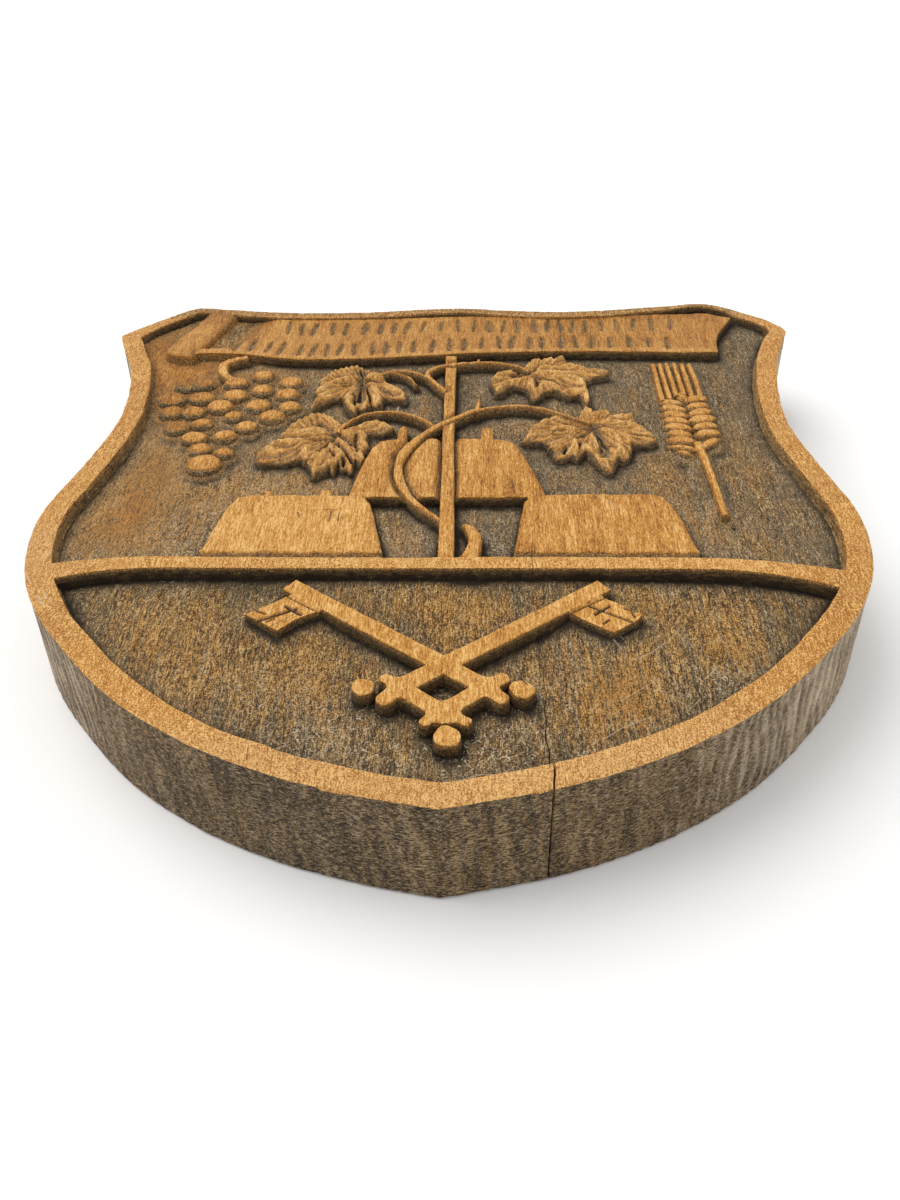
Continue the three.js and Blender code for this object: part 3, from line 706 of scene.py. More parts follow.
class ShieldOutline:
    """The shield's outline, its rim and its dividing bar as measures over the plan."""

    RIGHT_SIDE = [
        (0, -187), (19, -182.9), (38, -178), (57, -171.4), (84, -158.4), (114.5, -136.3), (142, -106.3),
        (157.6, -83.5), (166.6, -62), (170.5, -38), (170.2, -18), (166.6, 0), (162.6, 20), (159.2, 41),
        (158.2, 60), (159.9, 80), (163.2, 101), (168, 121), (173.4, 137), (177.6, 148),
    ]
    TOP_EDGE = [
        (178.6, 153), (176, 160.5), (169, 169), (158, 178.4), (149.5, 185), (142.5, 188.3), (134, 188.8),
        (118, 186), (98, 182.6), (78, 179.8), (58, 178.5), (38, 179.6), (18, 182), (0, 183.6), (-20, 182),
        (-40, 179.5), (-62, 178), (-84, 178), (-104, 179.2), (-124, 182), (-138, 184.3), (-145, 184.6),
    ]
    LEFT_EAR = [(-150, 182.2), (-158, 174.2), (-170, 161), (-180.6, 148.6)]
    LEFT_SIDE = [
        (-178.4, 141), (-173, 127), (-167, 112), (-162.8, 96), (-159.9, 78), (-158.4, 58), (-159.6, 40),
        (-162.9, 19), (-166.8, -1), (-170.4, -20), (-170.7, -38), (-166.6, -62), (-157.2, -84),
        (-141.8, -106.6), (-114.5, -136.6), (-84, -158.8), (-57, -171.6), (-38, -178.2), (-19, -183),
        (0, -187),
    ]

    def __init__(self, size: BoardSize) -> None:
        """Keeps the sizes and works the outline out."""
        self.size = size
        runs = [self.RIGHT_SIDE + self.TOP_EDGE, self.LEFT_EAR, self.LEFT_SIDE]
        lines = [curve_through(run, 5) for run in runs]
        self.outline = np.vstack([lines[0], lines[1], lines[2][:-1]])
        self.edge = Raster(self.rough_edge, (-186, -192), (186, 194), 0.8)

    def rough_edge(self, points: Array) -> Array:
        """Signed distance to the outline, as uneven as a knife leaves it."""
        return outline_distance(points, self.outline) + 0.32 * layered(points, 9, 3, 3)

    def rim_width(self, points: Array) -> Array:
        """How wide the rim is near each point."""
        size = self.size
        x, y = points.T
        waist = np.exp(-(((y - 65) / 48) ** 2))
        width = size.rim_width - (size.rim_width - size.waist_rim_width) * waist
        width += (size.ear_rim_width - width) * ease(140, 160, y)
        width += (size.top_rim_width - width) * ease(170, 180, y)
        return width + (size.peak_rim_width - width) * np.exp(-(((x - 136) / 20) ** 2)) * ease(170, 182, y)

    def bend(self, points: Array) -> Array:
        """How far along its bent ends the dividing bar is at each point."""
        size = self.size
        return np.clip((np.abs(points[:, 0] - size.bar_middle) - size.bend_start) / size.bend_length, 0, 1.4)

    def bar(self, points: Array) -> Array:
        """Signed distance to the dividing bar, which bends down to the rim at its ends."""
        x, y = points.T
        size, bend, wave = self.size, self.bend(points), 0.35 * np.sin(x / 31)
        top = size.bar_top - size.bar_top_drop * bend**2 + wave
        foot = size.bar_foot - size.bar_foot_drop * bend**2.1 + wave * 0.5
        return np.maximum(y - top, foot - y) * 0.98

    def pocket(self, points: Array) -> Array:
        """Signed distance to the sunk fields, negative over them."""
        wobble = 0.22 * lattice(points, 13, 5)
        return np.maximum(self.edge(points) + self.rim_width(points) + wobble, -self.bar(points))

    def crack_offset(self, points: Array) -> Array:
        """How far right of the drying crack each point is."""
        x, y = points.T
        wander = 0.5 * np.sin(y / 7.3) + 0.28 * np.sin(y / 2.1 + 1)
        return x - (self.size.crack_x + self.size.crack_lean * (y + 60) + wander)

    def cut_crack(self, plan: Array, triangles: Array, half: float, snap: float) -> Pair:
        """Cuts a plan along the crack.

        Args:
            plan: Plan points, n x 2.
            triangles: Triangles over them.
            half: Half the crack's width.
            snap: Points nearer than this are moved onto the cut.

        Returns:
            The plan with points on the crack's middle and both edges.
        """
        for shift in (0.0, -half, half):
            plan, left, right = cut_plan(
                plan, triangles, lambda spots, shift=shift: self.crack_offset(spots) - shift, snap
            )
            triangles = np.concatenate([left, right])
        return trimmed(plan, triangles)


class Ground:
    """The carved-down ground, with tool marks, and grime and painted shade beside raised forms."""

    WARM = (
        (58, -130, 26), (-160, 150, 26), (-150, 116, 22), (108, -108, 13), (-95, -100, 30), (-50, -120, 22),
        (0, -80, 24), (75, -72, 22), (-130, -20, 40), (-140, 80, 46), (-125, 125, 34), (-60, 8, 16),
        (-20, -40, 10), (45, 60, 18), (110, -30, 14),
    )
    CHALK = (
        (-35, -158, 26, 1.0), (20, -160, 20, 0.9), (-10, -134, 20, 0.6), (45, -122, 16, 0.5),
        (-60, -130, 22, 0.5), (-52, -82, 12, 0.5), (-110, -45, 22, 0.7), (-14, -40, 14, 0.9),
        (20, -35, 12, 0.8), (-100, -12, 14, 0.6), (26, 55, 12, 0.8), (108, -18, 14, 0.5), (-45, 0, 14, 0.6),
        (95, -120, 24, 0.45), (15, 95, 14, 0.5),
    )

    def __init__(
        self, shield: ShieldOutline, forms: list[Measure], beds: list[Measure], shelf: Measure
    ) -> None:
        """Works out how near the raised forms are.

        Args:
            shield: The outline, rim and bar.
            forms: Measures of the raised forms.
            beds: Measures of the forms whose gaps are carved less deep.
            shelf: Measure of the forms round which the ground is left high.
        """
        self.shield, self.shelf = shield, shelf
        self.bed_distance = Raster(nearest(beds), (-150, -36), (130, 126), 1.0)
        self.form_distance = Raster(nearest(forms), (-180, -188), (180, 188), 1.2)

    def chalk(self, points: Array) -> Array:
        """How thick the pale tool scratches lie, 0 to 1."""
        return np.max([most * round_patch(points, *spot) for *spot, most in self.CHALK], 0)

    def surface(self, points: Array) -> Surface:
        """Height, wear and painted light, grime and painted shade of the ground.

        Args:
            points: Plan points, n x 2.

        Returns:
            Heights in millimetres, wear and painted light, grime and painted shade.
        """
        x, y = points.T
        near = self.form_distance(points)
        beside = np.maximum(-self.shield.pocket(points), 0)
        closest = np.minimum(np.maximum(near, 0), beside)
        shaded = np.maximum(self.form_distance(points + (-1.0, 3.4)), 0)
        broad = layered(points, (26, 40), 11, 2)
        cuts = gouged(points, 4.6, 0.5, 12) * 0.5 + gouged(points, 3.4, -0.7, 13) * 0.3
        crumb = layered(points, (1.3, 3.4), 14, 2)
        pits = ease(0.62, 0.9, lattice(points, (1.1, 1.9), 15)) * ease(-0.1, 0.5, lattice(points, 30, 16))
        calm = ease(0.0, 3.0, closest)
        bed = ease(3.2, 1.0, self.bed_distance(points)) * ease(-31, -19, y)
        hole = np.exp(-((x - 119.4) ** 2 + ((y + 28) / 1.5) ** 2) / 1.2)
        height = GROUND_Z + 0.24 * broad - 0.34 * np.clip(cuts, 0, 0.9) * calm + 0.15 * crumb
        height -= 0.38 * pits + 0.42 * np.exp(-closest / 1.5) * (1 - bed)
        height += 0.5 * np.exp(-(beside / 2.2)) * calm + 1.7 * bed + 1.7 * ease(10, 0, self.shelf(points))
        height += 1.3 * ease(120, 150, y) * ease(118, 140, np.abs(x + 3)) - 0.9 * hole
        # Painted shade: darker beside the raised forms and the rim, with a painted shadow below each form;
        # both weaker in the upper left and at the stalk's end
        shade_scale = 1 - 0.8 * ease(30, 90, y) * ease(-92, -125, x)
        shade_scale = shade_scale - 0.75 * np.exp(-((x - 116) ** 2 + (y + 27) ** 2) / 70)
        grime_and_shade = (0.62 * np.exp(-closest / 1.7) + 0.62 * np.exp(-beside / 7.0)) * shade_scale + 0.3 * pits
        grime_and_shade += 0.62 * np.exp(-shaded / 3.4) * (1 - 0.5 * bed) * shade_scale
        # Painted shade at the foot of the bar's ends, which are also cut lower
        ends = ease(60, 125, np.abs(x + 6)) * ease(-104, -80, y) * (y < -60) * np.exp(-beside / 3.6)
        height -= 0.6 * ends
        # Pits, cuts and the hole are darkened as painted shade with dirt
        grime_and_shade = grime_and_shade * (1 - 0.6 * bed) + 0.14 * np.clip(cuts, 0, 1) + 0.8 * hole + 0.5 * ends
        warmth = sum(round_patch(points, *spot) for spot in self.WARM)
        # Less pale near the raised forms, as painted shade
        wear_and_light = 0.08 + 0.16 * broad + 0.08 * crumb - 0.2 * np.exp(-closest / 5) + 0.2 * bed + 0.27 * warmth
        wear_and_light += 0.13 * ease(-64, -50, y) * ease(0, -70, x)
        return height, wear_and_light, np.clip(grime_and_shade, 0, 1)


class ShieldBoard:
    """The plank: rim, dividing bar, sides, back and the two grounds."""

    def __init__(self, shield: ShieldOutline, ground: Ground) -> None:
        """Keeps the outline and the ground."""
        self.shield = shield
        self.ground = ground
        self.size = shield.size

    def rim_surface(self, points: Array, edge: Array, pocket: Array) -> Surface:
        """Height, wear and painted light, grime and painted shade on the rim and the bar.

        Args:
            points: Plan points, n x 2.
            edge: Distance inside the outline.
            pocket: Distance outside the fields.

        Returns:
            Heights in millimetres, wear and painted light, grime and painted shade.
        """
        y = points[:, 1]
        chips = ease(0.45, 0.85, lattice(points, 5.5, 21)) * ease(-0.2, 0.4, lattice(points, 40, 22))
        arris = 0.3 + 0.12 * lattice(points, 3.1, 23) + 0.9 * chips
        height = self.size.thickness - 0.12 + 0.1 * layered(points, (7, 24), 24, 2)
        height -= rounding(edge, 1.0) * arris
        height -= rounding(pocket, 0.7) * (0.22 + 0.12 * lattice(points, 2.7, 25) + 0.4 * chips)
        crack = np.abs(self.shield.crack_offset(points))
        height -= self.crack_share(points) * np.clip(1 - crack / self.size.crack_width, 0, 1) * 3
        scuffed = np.exp(-(((points[:, 0] + 152.5) / 4.5) ** 2) - (((y + 84) / 5.5) ** 2))
        height -= 0.45 * scuffed * (0.5 + 0.5 * np.sin(points @ np.array([1.9, 1.1])))
        # Painted shade: the far top of the rim is duller and darker, and the crack is painted dark
        far = ease(168, 176, y)
        wear_and_light = 0.84 + 0.08 * layered(points, 17, 26, 2) - 0.1 * ease(150, 172, y) - 0.2 * far
        wear_and_light += 0.14 * ease(0.9, 0.2, edge) * ease(-0.4, 0.3, lattice(points, 6, 27))
        wear_and_light += 0.19 * ease(-73, -66, y) * ease(-48, -54, y) * ease(150, 120, np.abs(points[:, 0]))
        grime_and_shade = 0.1 * chips + self.crack_share(points) * ease(self.size.crack_width, 0, crack) + 0.22 * far
        return height, wear_and_light + 0.5 * scuffed, grime_and_shade

    def paleness(self, points: Array) -> Array:
        """How pale the rim has bleached, 0 to 1."""
        x, y = points.T
        left = np.exp(-(((x + 165) / 16) ** 2) - (((y + 50) / 30) ** 2))
        return 0.7 * ease(-128, -172, y) + 0.55 * left + 0.3 * layered(points, 40, 28, 2)

    def crack_share(self, points: Array) -> Array:
        """How open the crack is, by how far down the shield it is."""
        y = points[:, 1]
        return ease(-62.5, -66, y) * (0.22 + 0.78 * ease(-146, -166, y))

    def build_frame(self) -> Skin:
        """Makes the rim, the bar, the sides and the back as one closed body.

        Returns:
            The skin, with the face's wood in slot 0, the sides' in 1 and the back's in 2.
        """
        shield, skin, snap = self.shield, Skin(self.paleness), 0.27
        plan, triangles = plan_grid((-182, -188), (180.5, 190), self.size.face_cell)
        plan, triangles, _ = cut_plan(plan, triangles, shield.edge, snap)
        plan, _, triangles = cut_plan(plan, triangles, shield.pocket, snap)
        plan, triangles = shield.cut_crack(*trimmed(plan, triangles), self.size.crack_width, 0.03)
        edge, pocket = np.maximum(-shield.edge(plan), 0), np.maximum(shield.pocket(plan), 0)
        height, wear_and_light, grime_and_shade = self.rim_surface(plan, edge, pocket)
        skin.add_triangles(skin.add_points(raised(plan, height), wear_and_light, grime_and_shade)[triangles])
        edges = border_edges(triangles)
        outer = (edge[edges] < 0.5).all(1)
        self.add_pocket_walls(skin, plan, height, edges[~outer])
        self.add_sides(skin, plan, height, edges[outer])
        return skin

    def add_pocket_walls(self, skin: Skin, plan: Array, height: Array, edges: Array) -> None:
        """Adds the walls round the fields, and the floors under their grounds."""
        ring, places = numbered(edges)
        border, top, upper = plan[ring], height[ring], ring
        inward = -slope(self.shield.pocket, border, 0.3)
        facet = np.abs(lattice(border, 3.2, 40)) - 0.3
        # Painted shade on the field walls: darker lower down and on walls turned to the camera
        facing = 0.5 + 0.5 * ease(0.1, -0.7, inward[:, 1])
        for step, level in enumerate((-0.22, -1.3, -2.6, -3.9, -5.1, -6.3), 1):
            rough = lattice(raised(border.sum(1) * 0.7, level * 2.5), 1.7, 41)
            offset = -level * 0.1 + (0.2 * facet + 0.16 * rough) * min(1, step - 1)
            offset += 0.9 * ease(-3.2, -6, level) * ease(0.2, 0.8, np.abs(inward[:, 0]))
            wear_and_light, dark = (0.6, 0.15) if step == 1 else (0.38, min(1.0, 0.42 + 0.13 * step))
            spots = raised(border + inward * offset[:, None], top + level)
            upper = skin.add_ring(places, upper, spots, wear_and_light, dark * facing + 0.16 * rough)
        lower = skin.add_ring(places, upper, raised(border, GROUND_Z - 2.0), 0, 1)
        _, fill = cap_triangles(border, places, self.shield.pocket)
        skin.add_triangles(lower[fill])

    def add_sides(self, skin: Skin, plan: Array, height: Array, edges: Array) -> None:
        """Adds the fluted sides down to the back, and the back."""
        ring, places = numbered(edges)
        border, top, upper = plan[ring], height[ring], ring
        outward = slope(self.shield.edge, border, 0.3)
        follower, leader = np.zeros((2, len(ring)), int)
        follower[places[:, 0]], leader[places[:, 1]] = places[:, 1], places[:, 0]
        for _ in range(5):
            outward = outward * 2 + outward[follower] + outward[leader]
            outward /= np.hypot(outward[:, 0], outward[:, 1])[:, None]
        _, girth = line_distance(border, np.vstack([self.shield.outline, self.shield.outline[:1]]))
        crack = np.abs(self.shield.crack_offset(border)) / self.size.crack_width
        # The crack in the side is painted dark, as shade
        at_crack = np.clip(1 - crack, 0, 1) * ease(-150, -165, border[:, 1])
        for share in (0.993, 0.975, *np.linspace(0.945, 0.02, 27), 0.0):
            level = top * share
            offset = self.flutes(border, girth, level) * min(1.0, (1 - share) * 30)
            offset -= at_crack * self.size.crack_depth * (0.55 + 0.45 * np.sin(level * 0.9))
            offset -= 0.7 * ease(0.02, 0, share)
            wear_and_light, dirt_and_shade = self.side_wear(border, girth, level)
            back, slot = border + outward * offset[:, None], int(share < 0.99)
            upper = skin.add_ring(places, upper, raised(back, level), wear_and_light, dirt_and_shade + at_crack, slot)
        spaced, _ = plan_grid((-176, -184), (176, 184), self.size.back_cell)
        spaced = spaced[self.shield.edge(spaced) < -6]
        everything, fill = cap_triangles(back, places, self.shield.edge, spaced)
        added = skin.add_points(raised(everything, 0.0), 0.2, 0.2)
        skin.add_triangles(np.concatenate([upper, added[len(back):]])[fill][:, ::-1], 2)

    def flute_phase(self, girth: Array, level: Array) -> Array:
        """Where each point of the sides lies across the gouge marks, 0 in a hollow and 1 on a crest."""
        lengthwise = np.column_stack([girth, level])
        warp = 0.8 * lattice(lengthwise, (19, 26), 51) + 0.36 * lattice(lengthwise, (8, 10), 52)
        phase = (girth + 0.12 * (level - 22)) / self.size.flute_pitch + warp
        return 1 - np.abs(np.sin(phase * math.pi))

    def flutes(self, border: Array, girth: Array, level: Array) -> Array:
        """How far the sides stand out, for the marks of an upright gouge."""
        lengthwise = np.column_stack([girth, level])
        flank = 0.4 + 0.6 * ease(30, 135, border[:, 0]) + 0.1 * ease(-30, -135, border[:, 0])
        strength = self.size.flute_depth * flank * (0.75 + 0.25 * lattice(lengthwise, (20, 16), 53))
        hollow = 1 - self.flute_phase(girth, level)
        return -strength * hollow - 0.22 * np.abs(layered(lengthwise, (4, 9), 54, 2)) - 0.1

    def side_wear(self, border: Array, girth: Array, level: Array) -> Pair:
        """The paleness and darkening of the sides: painted light on the flanks, painted shade with dirt in
        the hollows.
        """
        lengthwise = np.column_stack([girth, level])
        crest = self.flute_phase(girth, level)
        # Painted light: the left and right flanks are paler than the front, which faces the camera
        flank = 0.56 * ease(40, 150, border[:, 0]) + 0.66 * ease(-75, -150, border[:, 0])
        flank = flank + 0.09 * ease(0, 60, border[:, 0]) - 0.15 * ease(0, -40, border[:, 0])
        paleness = flank + 0.1 * ease(60, 150, border[:, 1])
        wear_and_light = paleness + 0.32 * crest + 0.14 * lattice(lengthwise, (8, 9), 57)
        # Darker in the flute hollows and at the foot, as painted shade with dirt, and along the top
        dirt_and_shade = 0.3 * ease(0.5, 0.0, crest) + 0.22 * layered(lengthwise, (12, 20), 55, 2)
        return wear_and_light, dirt_and_shade + 0.12 * ease(4, 0, level) + 0.22 * ease(42.5, 44.5, level)

    def build_field(self, lower: bool) -> Skin:
        """Makes the ground of the lower or the upper field, as a closed slab that is let into the rim."""
        shield, size = self.shield, self.size
        middle = (size.bar_top + size.bar_foot) / 2

        def measure(points: Array) -> Array:
            """Signed distance to the slab."""
            line = middle - size.field_drop * shield.bend(points) ** 2
            side = points[:, 1] - line if lower else line - points[:, 1]
            return np.maximum(shield.edge(points) + shield.rim_width(points) - size.let_in, side)

        low, high = ((-162, -182), (162, -57)) if lower else ((-176, -70), (174, 184))
        cell = size.lower_cell if lower else size.upper_cell
        plan, triangles = plan_grid(low, high, cell)
        plan, triangles, _ = cut_plan(plan, triangles, measure, cell * SNAP_SHARE)
        half = size.field_crack_width
        if lower:
            plan, triangles = shield.cut_crack(plan, triangles, half, 0.02)
        plan, triangles = trimmed(plan, triangles)
        height, wear_and_light, grime_and_shade = self.ground.surface(plan)
        if lower:
            crack = np.abs(shield.crack_offset(plan))
            down = ease(-64, -75, plan[:, 1]) * (0.55 + 0.45 * ease(-105, -135, plan[:, 1]))
            open_share = down * (0.75 + 0.4 * lattice(plan, (60, 11), 61))
            height = height - 1.0 * open_share * np.clip(1 - crack / half, 0, 1)
            # The open crack is painted dark, as shade
            grime_and_shade = np.maximum(grime_and_shade, open_share * ease(half, 0, crack))
        skin = Skin(self.ground.chalk)
        skin.add_triangles(skin.add_points(raised(plan, height), wear_and_light, grime_and_shade)[triangles])
        ring, places = numbered(border_edges(triangles))
        bottom = skin.add_ring(places, ring, raised(plan[ring], GROUND_Z - 2.6), 0, 1)
        _, fill = cap_triangles(plan[ring], places, measure)
        skin.add_triangles(bottom[fill][:, ::-1])
        return skin


# Carved charges


def grain_relief(points: Array, seed: int, depth: float = 0.12) -> Array:
    """Shallow ridges of wood grain that run up the shield."""
    return depth * (0.7 * layered(points, (2.6, 26), seed, 2) + 0.3 * lattice(points, (0.9, 12), seed + 5))


def groove(distance: Array, width: float, depth: float) -> Array:
    """How deep a V-shaped cut is, by the distance from its middle."""
    return depth * np.clip(1 - distance / (width / 2), 0, 1) ** 0.8


@dataclass
class Banner(Relief):
    """The banner with two rows of shallow strokes, which sinks towards its rolled end."""

    low, high, cell, wall_grime_and_shade = (-145, 118), (155, 187), 0.62, 0.8
    stroke_width: float = 6.2
    stroke_depth: float = 1.0
    sunk: float = 3.2
    lower: tuple = (
        (-141, 128.5), (-130, 129.3), (-120, 129), (-110, 127.8), (-100, 125.5), (-90, 123), (-80, 121.6),
        (-60, 121.4), (-40, 123), (-20, 125.2), (0, 127.5), (20, 129.4), (60, 130.5), (100, 130),
        (138.5, 128.3),
    )
    end: tuple = ((138.5, 128.3), (139.6, 140), (142.2, 150), (147, 160), (152.5, 170.5))
    upper: tuple = (
        (152.5, 170.5), (137, 177.2), (118, 177.6), (100, 176.6), (80, 175.2), (60, 174.5), (30, 174.8),
        (0, 175.3), (-20, 173.9), (-45, 171.6), (-75, 171.5), (-95, 174), (-105, 178), (-113, 182),
    )
    fold: tuple = ((-113, 182), (-124, 184), (-127.5, 177), (-134.5, 150), (-141, 128.5))

    def __post_init__(self) -> None:
        """Joins the edges into the outline."""
        self.lower_line = curve_through(self.lower, 5)
        self.upper_line = curve_through(self.upper, 5)
        end = curve_through(self.end, 5)
        self.outline = np.vstack([self.lower_line[:-1], end[:-1], self.upper_line[:-1], self.fold[:-1]])
        self.measure = Raster(self.exact, (-146, 117), (158, 190), 0.6)

    def exact(self, points: Array) -> Array:
        """Signed distance to the banner's outline."""
        return outline_distance(points, self.outline)

    def strokes(self) -> list[tuple[Array, Array, float]]:
        """The ends of the gouge strokes of both rows, and their strengths."""
        rng = np.random.default_rng(71)
        order = np.argsort(self.upper_line[:, 0])
        found = []
        for row, (first, last) in enumerate(((-91, 126), (-116, 121))):
            x = float(first)
            while x < last:
                if row == 0:
                    middle = np.interp(x, self.upper_line[order, 0], self.upper_line[order, 1]) - 12.4
                else:
                    middle = np.interp(x, self.lower_line[:, 0], self.lower_line[:, 1]) + 11.4
                half = np.array([rng.uniform(-0.5, 1.2), rng.choice([7.2, 6.4, 5.0], p=[0.6, 0.25, 0.15])])
                centre = np.array([x, middle + rng.uniform(-0.6, 0.6)])
                found.append((centre - half, centre + half, rng.uniform(0.6, 1.0)))
                x += rng.uniform(6.6, 10.6)
        return found

    def top(self, points: Array, depth: Array) -> Surface:
        """Height, wear and painted light, grime and painted shade of the banner's face."""
        x, y = points.T
        height = FACE_Z - 0.45 + grain_relief(points, 72, 0.2) + 0.22 * layered(points, (22, 40), 73, 2)
        height -= rounding(depth, 0.9) * (0.35 + 0.2 * lattice(points, 4, 74))
        deepest = np.zeros(len(points))
        for start, end, strength in self.strokes():
            run = end - start
            share = np.clip(((points - start) @ run) / (run @ run), 0, 1)
            gap = np.hypot(*(points - start - share[:, None] * run).T)
            gap = gap + 0.25 * lattice(points, 2.2, 77)
            wide = self.stroke_width * strength * (0.55 + 0.45 * np.sin(math.pi * (0.08 + 0.84 * share)))
            cut = ease(0.5, -0.06, gap / wide)
            deepest = np.maximum(deepest, cut)
        height -= self.stroke_depth * deepest
        left = np.interp(y, [130, 140, 150, 165, 176, 184], [-128, -118, -112.5, -107, -104, -103])
        sunk = ease(9, -9, x - left) * ease(133.5, 139, y)
        height -= self.sunk * sunk + 0.5 * np.abs(layered(points, (5, 9), 78, 2)) * ease(26, 0, x - left)
        border = np.interp(y, [133, 150, 160, 170], [133.8, 135.2, 137.2, 139.5])
        height -= groove(np.abs(x - border), 2.4, 1.0) * ease(130, 134, y) * ease(172, 168, y)
        height -= 0.5 * ease(0, -3, x - border) * ease(0, -14, x - border)
        level = y - np.interp(x, self.lower_line[:, 0], self.lower_line[:, 1])
        height -= 0.4 * ease(4.2, 5.4, level) * ease(-112, -90, x) * ease(138, 132, x)
        scratch = ease(0.5, 0.8, lattice(points @ np.array([[0.8, 0.6], [-0.6, 0.8]]), (1.1, 7), 75))
        # Painted shade in the strokes, in the recess by the roll and along the top edge; painted highlight
        # along the lower edge
        grime_and_shade = 0.6 * deepest + sunk * (0.24 - 0.24 * scratch)
        wear_and_light = 0.81 + 0.07 * ease(30, -60, x) + 0.14 * layered(points, (7, 22), 76, 2) - 0.62 * deepest
        wear_and_light -= 0.16 * ease(168, 178, y)
        wear_and_light = wear_and_light - sunk * (0.62 - 0.35 * scratch) + 0.12 * ease(5.2, 4.2, level)
        return height - 0.3 * scratch * sunk, wear_and_light, grime_and_shade


@dataclass
class BannerRoll(Relief):
    """The rolled end at the banner's left."""

    low, high, draft, wall_grime_and_shade = (-158, 119), (-114, 188), 0.3, 0.4
    foot: Spot = (-144.4, 129.8)
    head: Spot = (-129.4, 178.6)
    width: float = 16.6

    def measure(self, points: Array) -> Array:
        """Signed distance to the roll."""
        return bar_distance(points, self.foot, self.head, self.width - 7) - 3.5 + 0.5 * lattice(points, 7, 84)

    def top(self, points: Array, depth: Array) -> Surface:
        """Height, wear and painted light, grime and painted shade of the roll."""
        axis = np.subtract(self.head, self.foot) / math.dist(self.head, self.foot)
        across = (points - np.array(self.foot)) @ np.array([axis[1], -axis[0]])
        bulge = np.sqrt(np.clip(1 - np.abs((across + 1.2) / (self.width * 0.6)) ** 2.4, 0.02, 1))
        along = points[:, 1] - self.foot[1]
        height = FACE_Z - 2.5 + 2.4 * bulge + grain_relief(points, 81) + 0.3 * layered(points, 7, 82, 2)
        height -= rounding(depth, 1.4) * 0.6 + 0.5 * ease(3, -4, along)
        # Painted light with wear: the roll's crown is paler; its sides are darker as painted shade; it
        # darkens towards its head
        wear_and_light = 0.44 + 0.44 * bulge - 0.25 * ease(28, 46, along) + 0.12 * layered(points, 6, 83, 2)
        return height, wear_and_light, 0.3 * (1 - bulge)


@dataclass
class Vine:
    """The vine: where its stems run, and their widths."""

    steepness: float = 5.5
    cap: float = 5.0
    stems: tuple = (
        ([(-0.5, -31.4), (-5, -26), (-12, -18), (-18, -8), (-22, 5), (-22.5, 18), (-19.5, 30), (-13, 42),
          (-5, 52), (3, 59), (10, 65), (18, 68.5), (30, 70.5), (41, 69), (51, 64), (60, 58), (66, 54)],
         ((0, 1.2), (0.07, 1.4), (0.15, 1.9), (0.26, 2.4), (0.53, 2.0), (0.7, 1.6), (1, 1.3))),
        ([(6.2, -30.4), (9.2, -34), (11.4, -40), (11.6, -46), (10.8, -52), (10.4, -60)],
         ((0, 0.7), (0.15, 1.9), (0.4, 2.9), (0.7, 2.7), (1, 3.0))),
        ([(10.2, -46), (8.4, -53), (6.0, -60)], ((0, 1.8), (1, 2.7))),
        ([(-7, 50), (-13, 57), (-20, 62), (-29, 65), (-38, 64), (-45, 60), (-50, 53), (-53, 45)],
         ((0, 1.5), (1, 1.2))),
        ([(-1, 113), (2, 116), (13, 117.5), (24, 117), (33, 113.5), (39, 108)], ((0, 1.7), (1, 1.2))),
        ([(-12, 101), (-12.6, 107), (-7, 113), (2, 116)], ((0, 1.4), (1, 1.7))),
        ([(-3, 86), (-8, 94), (-12, 101), (-17, 105), (-24, 108.5), (-31, 108), (-38, 104), (-44, 100)],
         ((0, 1.5), (1, 1.2))),
        ([(-31, 107), (-23, 103), (-18, 94)], ((0, 1.1), (1, 0.8))),
        ([(11.6, 64), (12.8, 72), (13.2, 79)], ((0, 2.0), (1, 0.8))),
        ([(13, 117.5), (13.2, 122)], ((0, 1.5), (1, 1.0))),
        ([(-108, 123.6), (-113.5, 121.4), (-119, 115.5), (-117.4, 106), (-111, 97)],
         ((0, 2.0), (0.5, 2.7), (1, 2.2))),
    )

    def __post_init__(self) -> None:
        """Runs smooth lines through the given points."""
        self.lines = [curve_through(points, 6) for points, _ in self.stems]

    def radii(self, index: int) -> Array:
        """The half widths along one stem."""
        _, widths = self.stems[index]
        share = np.linspace(0, 1, len(self.lines[index]))
        knots = 1 + 0.16 * lattice(np.column_stack([share * 22, share * 0]), 1.0, 94 + index)
        return np.interp(share, *zip(*widths)) * knots

    def measure(self, points: Array) -> Array:
        """Signed distance to the nearest stem."""
        best = np.full(len(points), 99.0)
        for index, line in enumerate(self.lines):
            distance, along = line_distance(points, line)
            lengths = np.concatenate([[0], np.cumsum(np.hypot(*np.diff(line, axis=0).T))])
            best = np.minimum(best, distance - np.interp(along, lengths, self.radii(index)))
        return best

    def curve(self) -> Piece:
        """The stems' middle lines as one curve object, with their radii."""
        lines = [(line, self.radii(index), GROUND_Z) for index, line in enumerate(self.lines)]
        return line_object("stem_lines", lines)


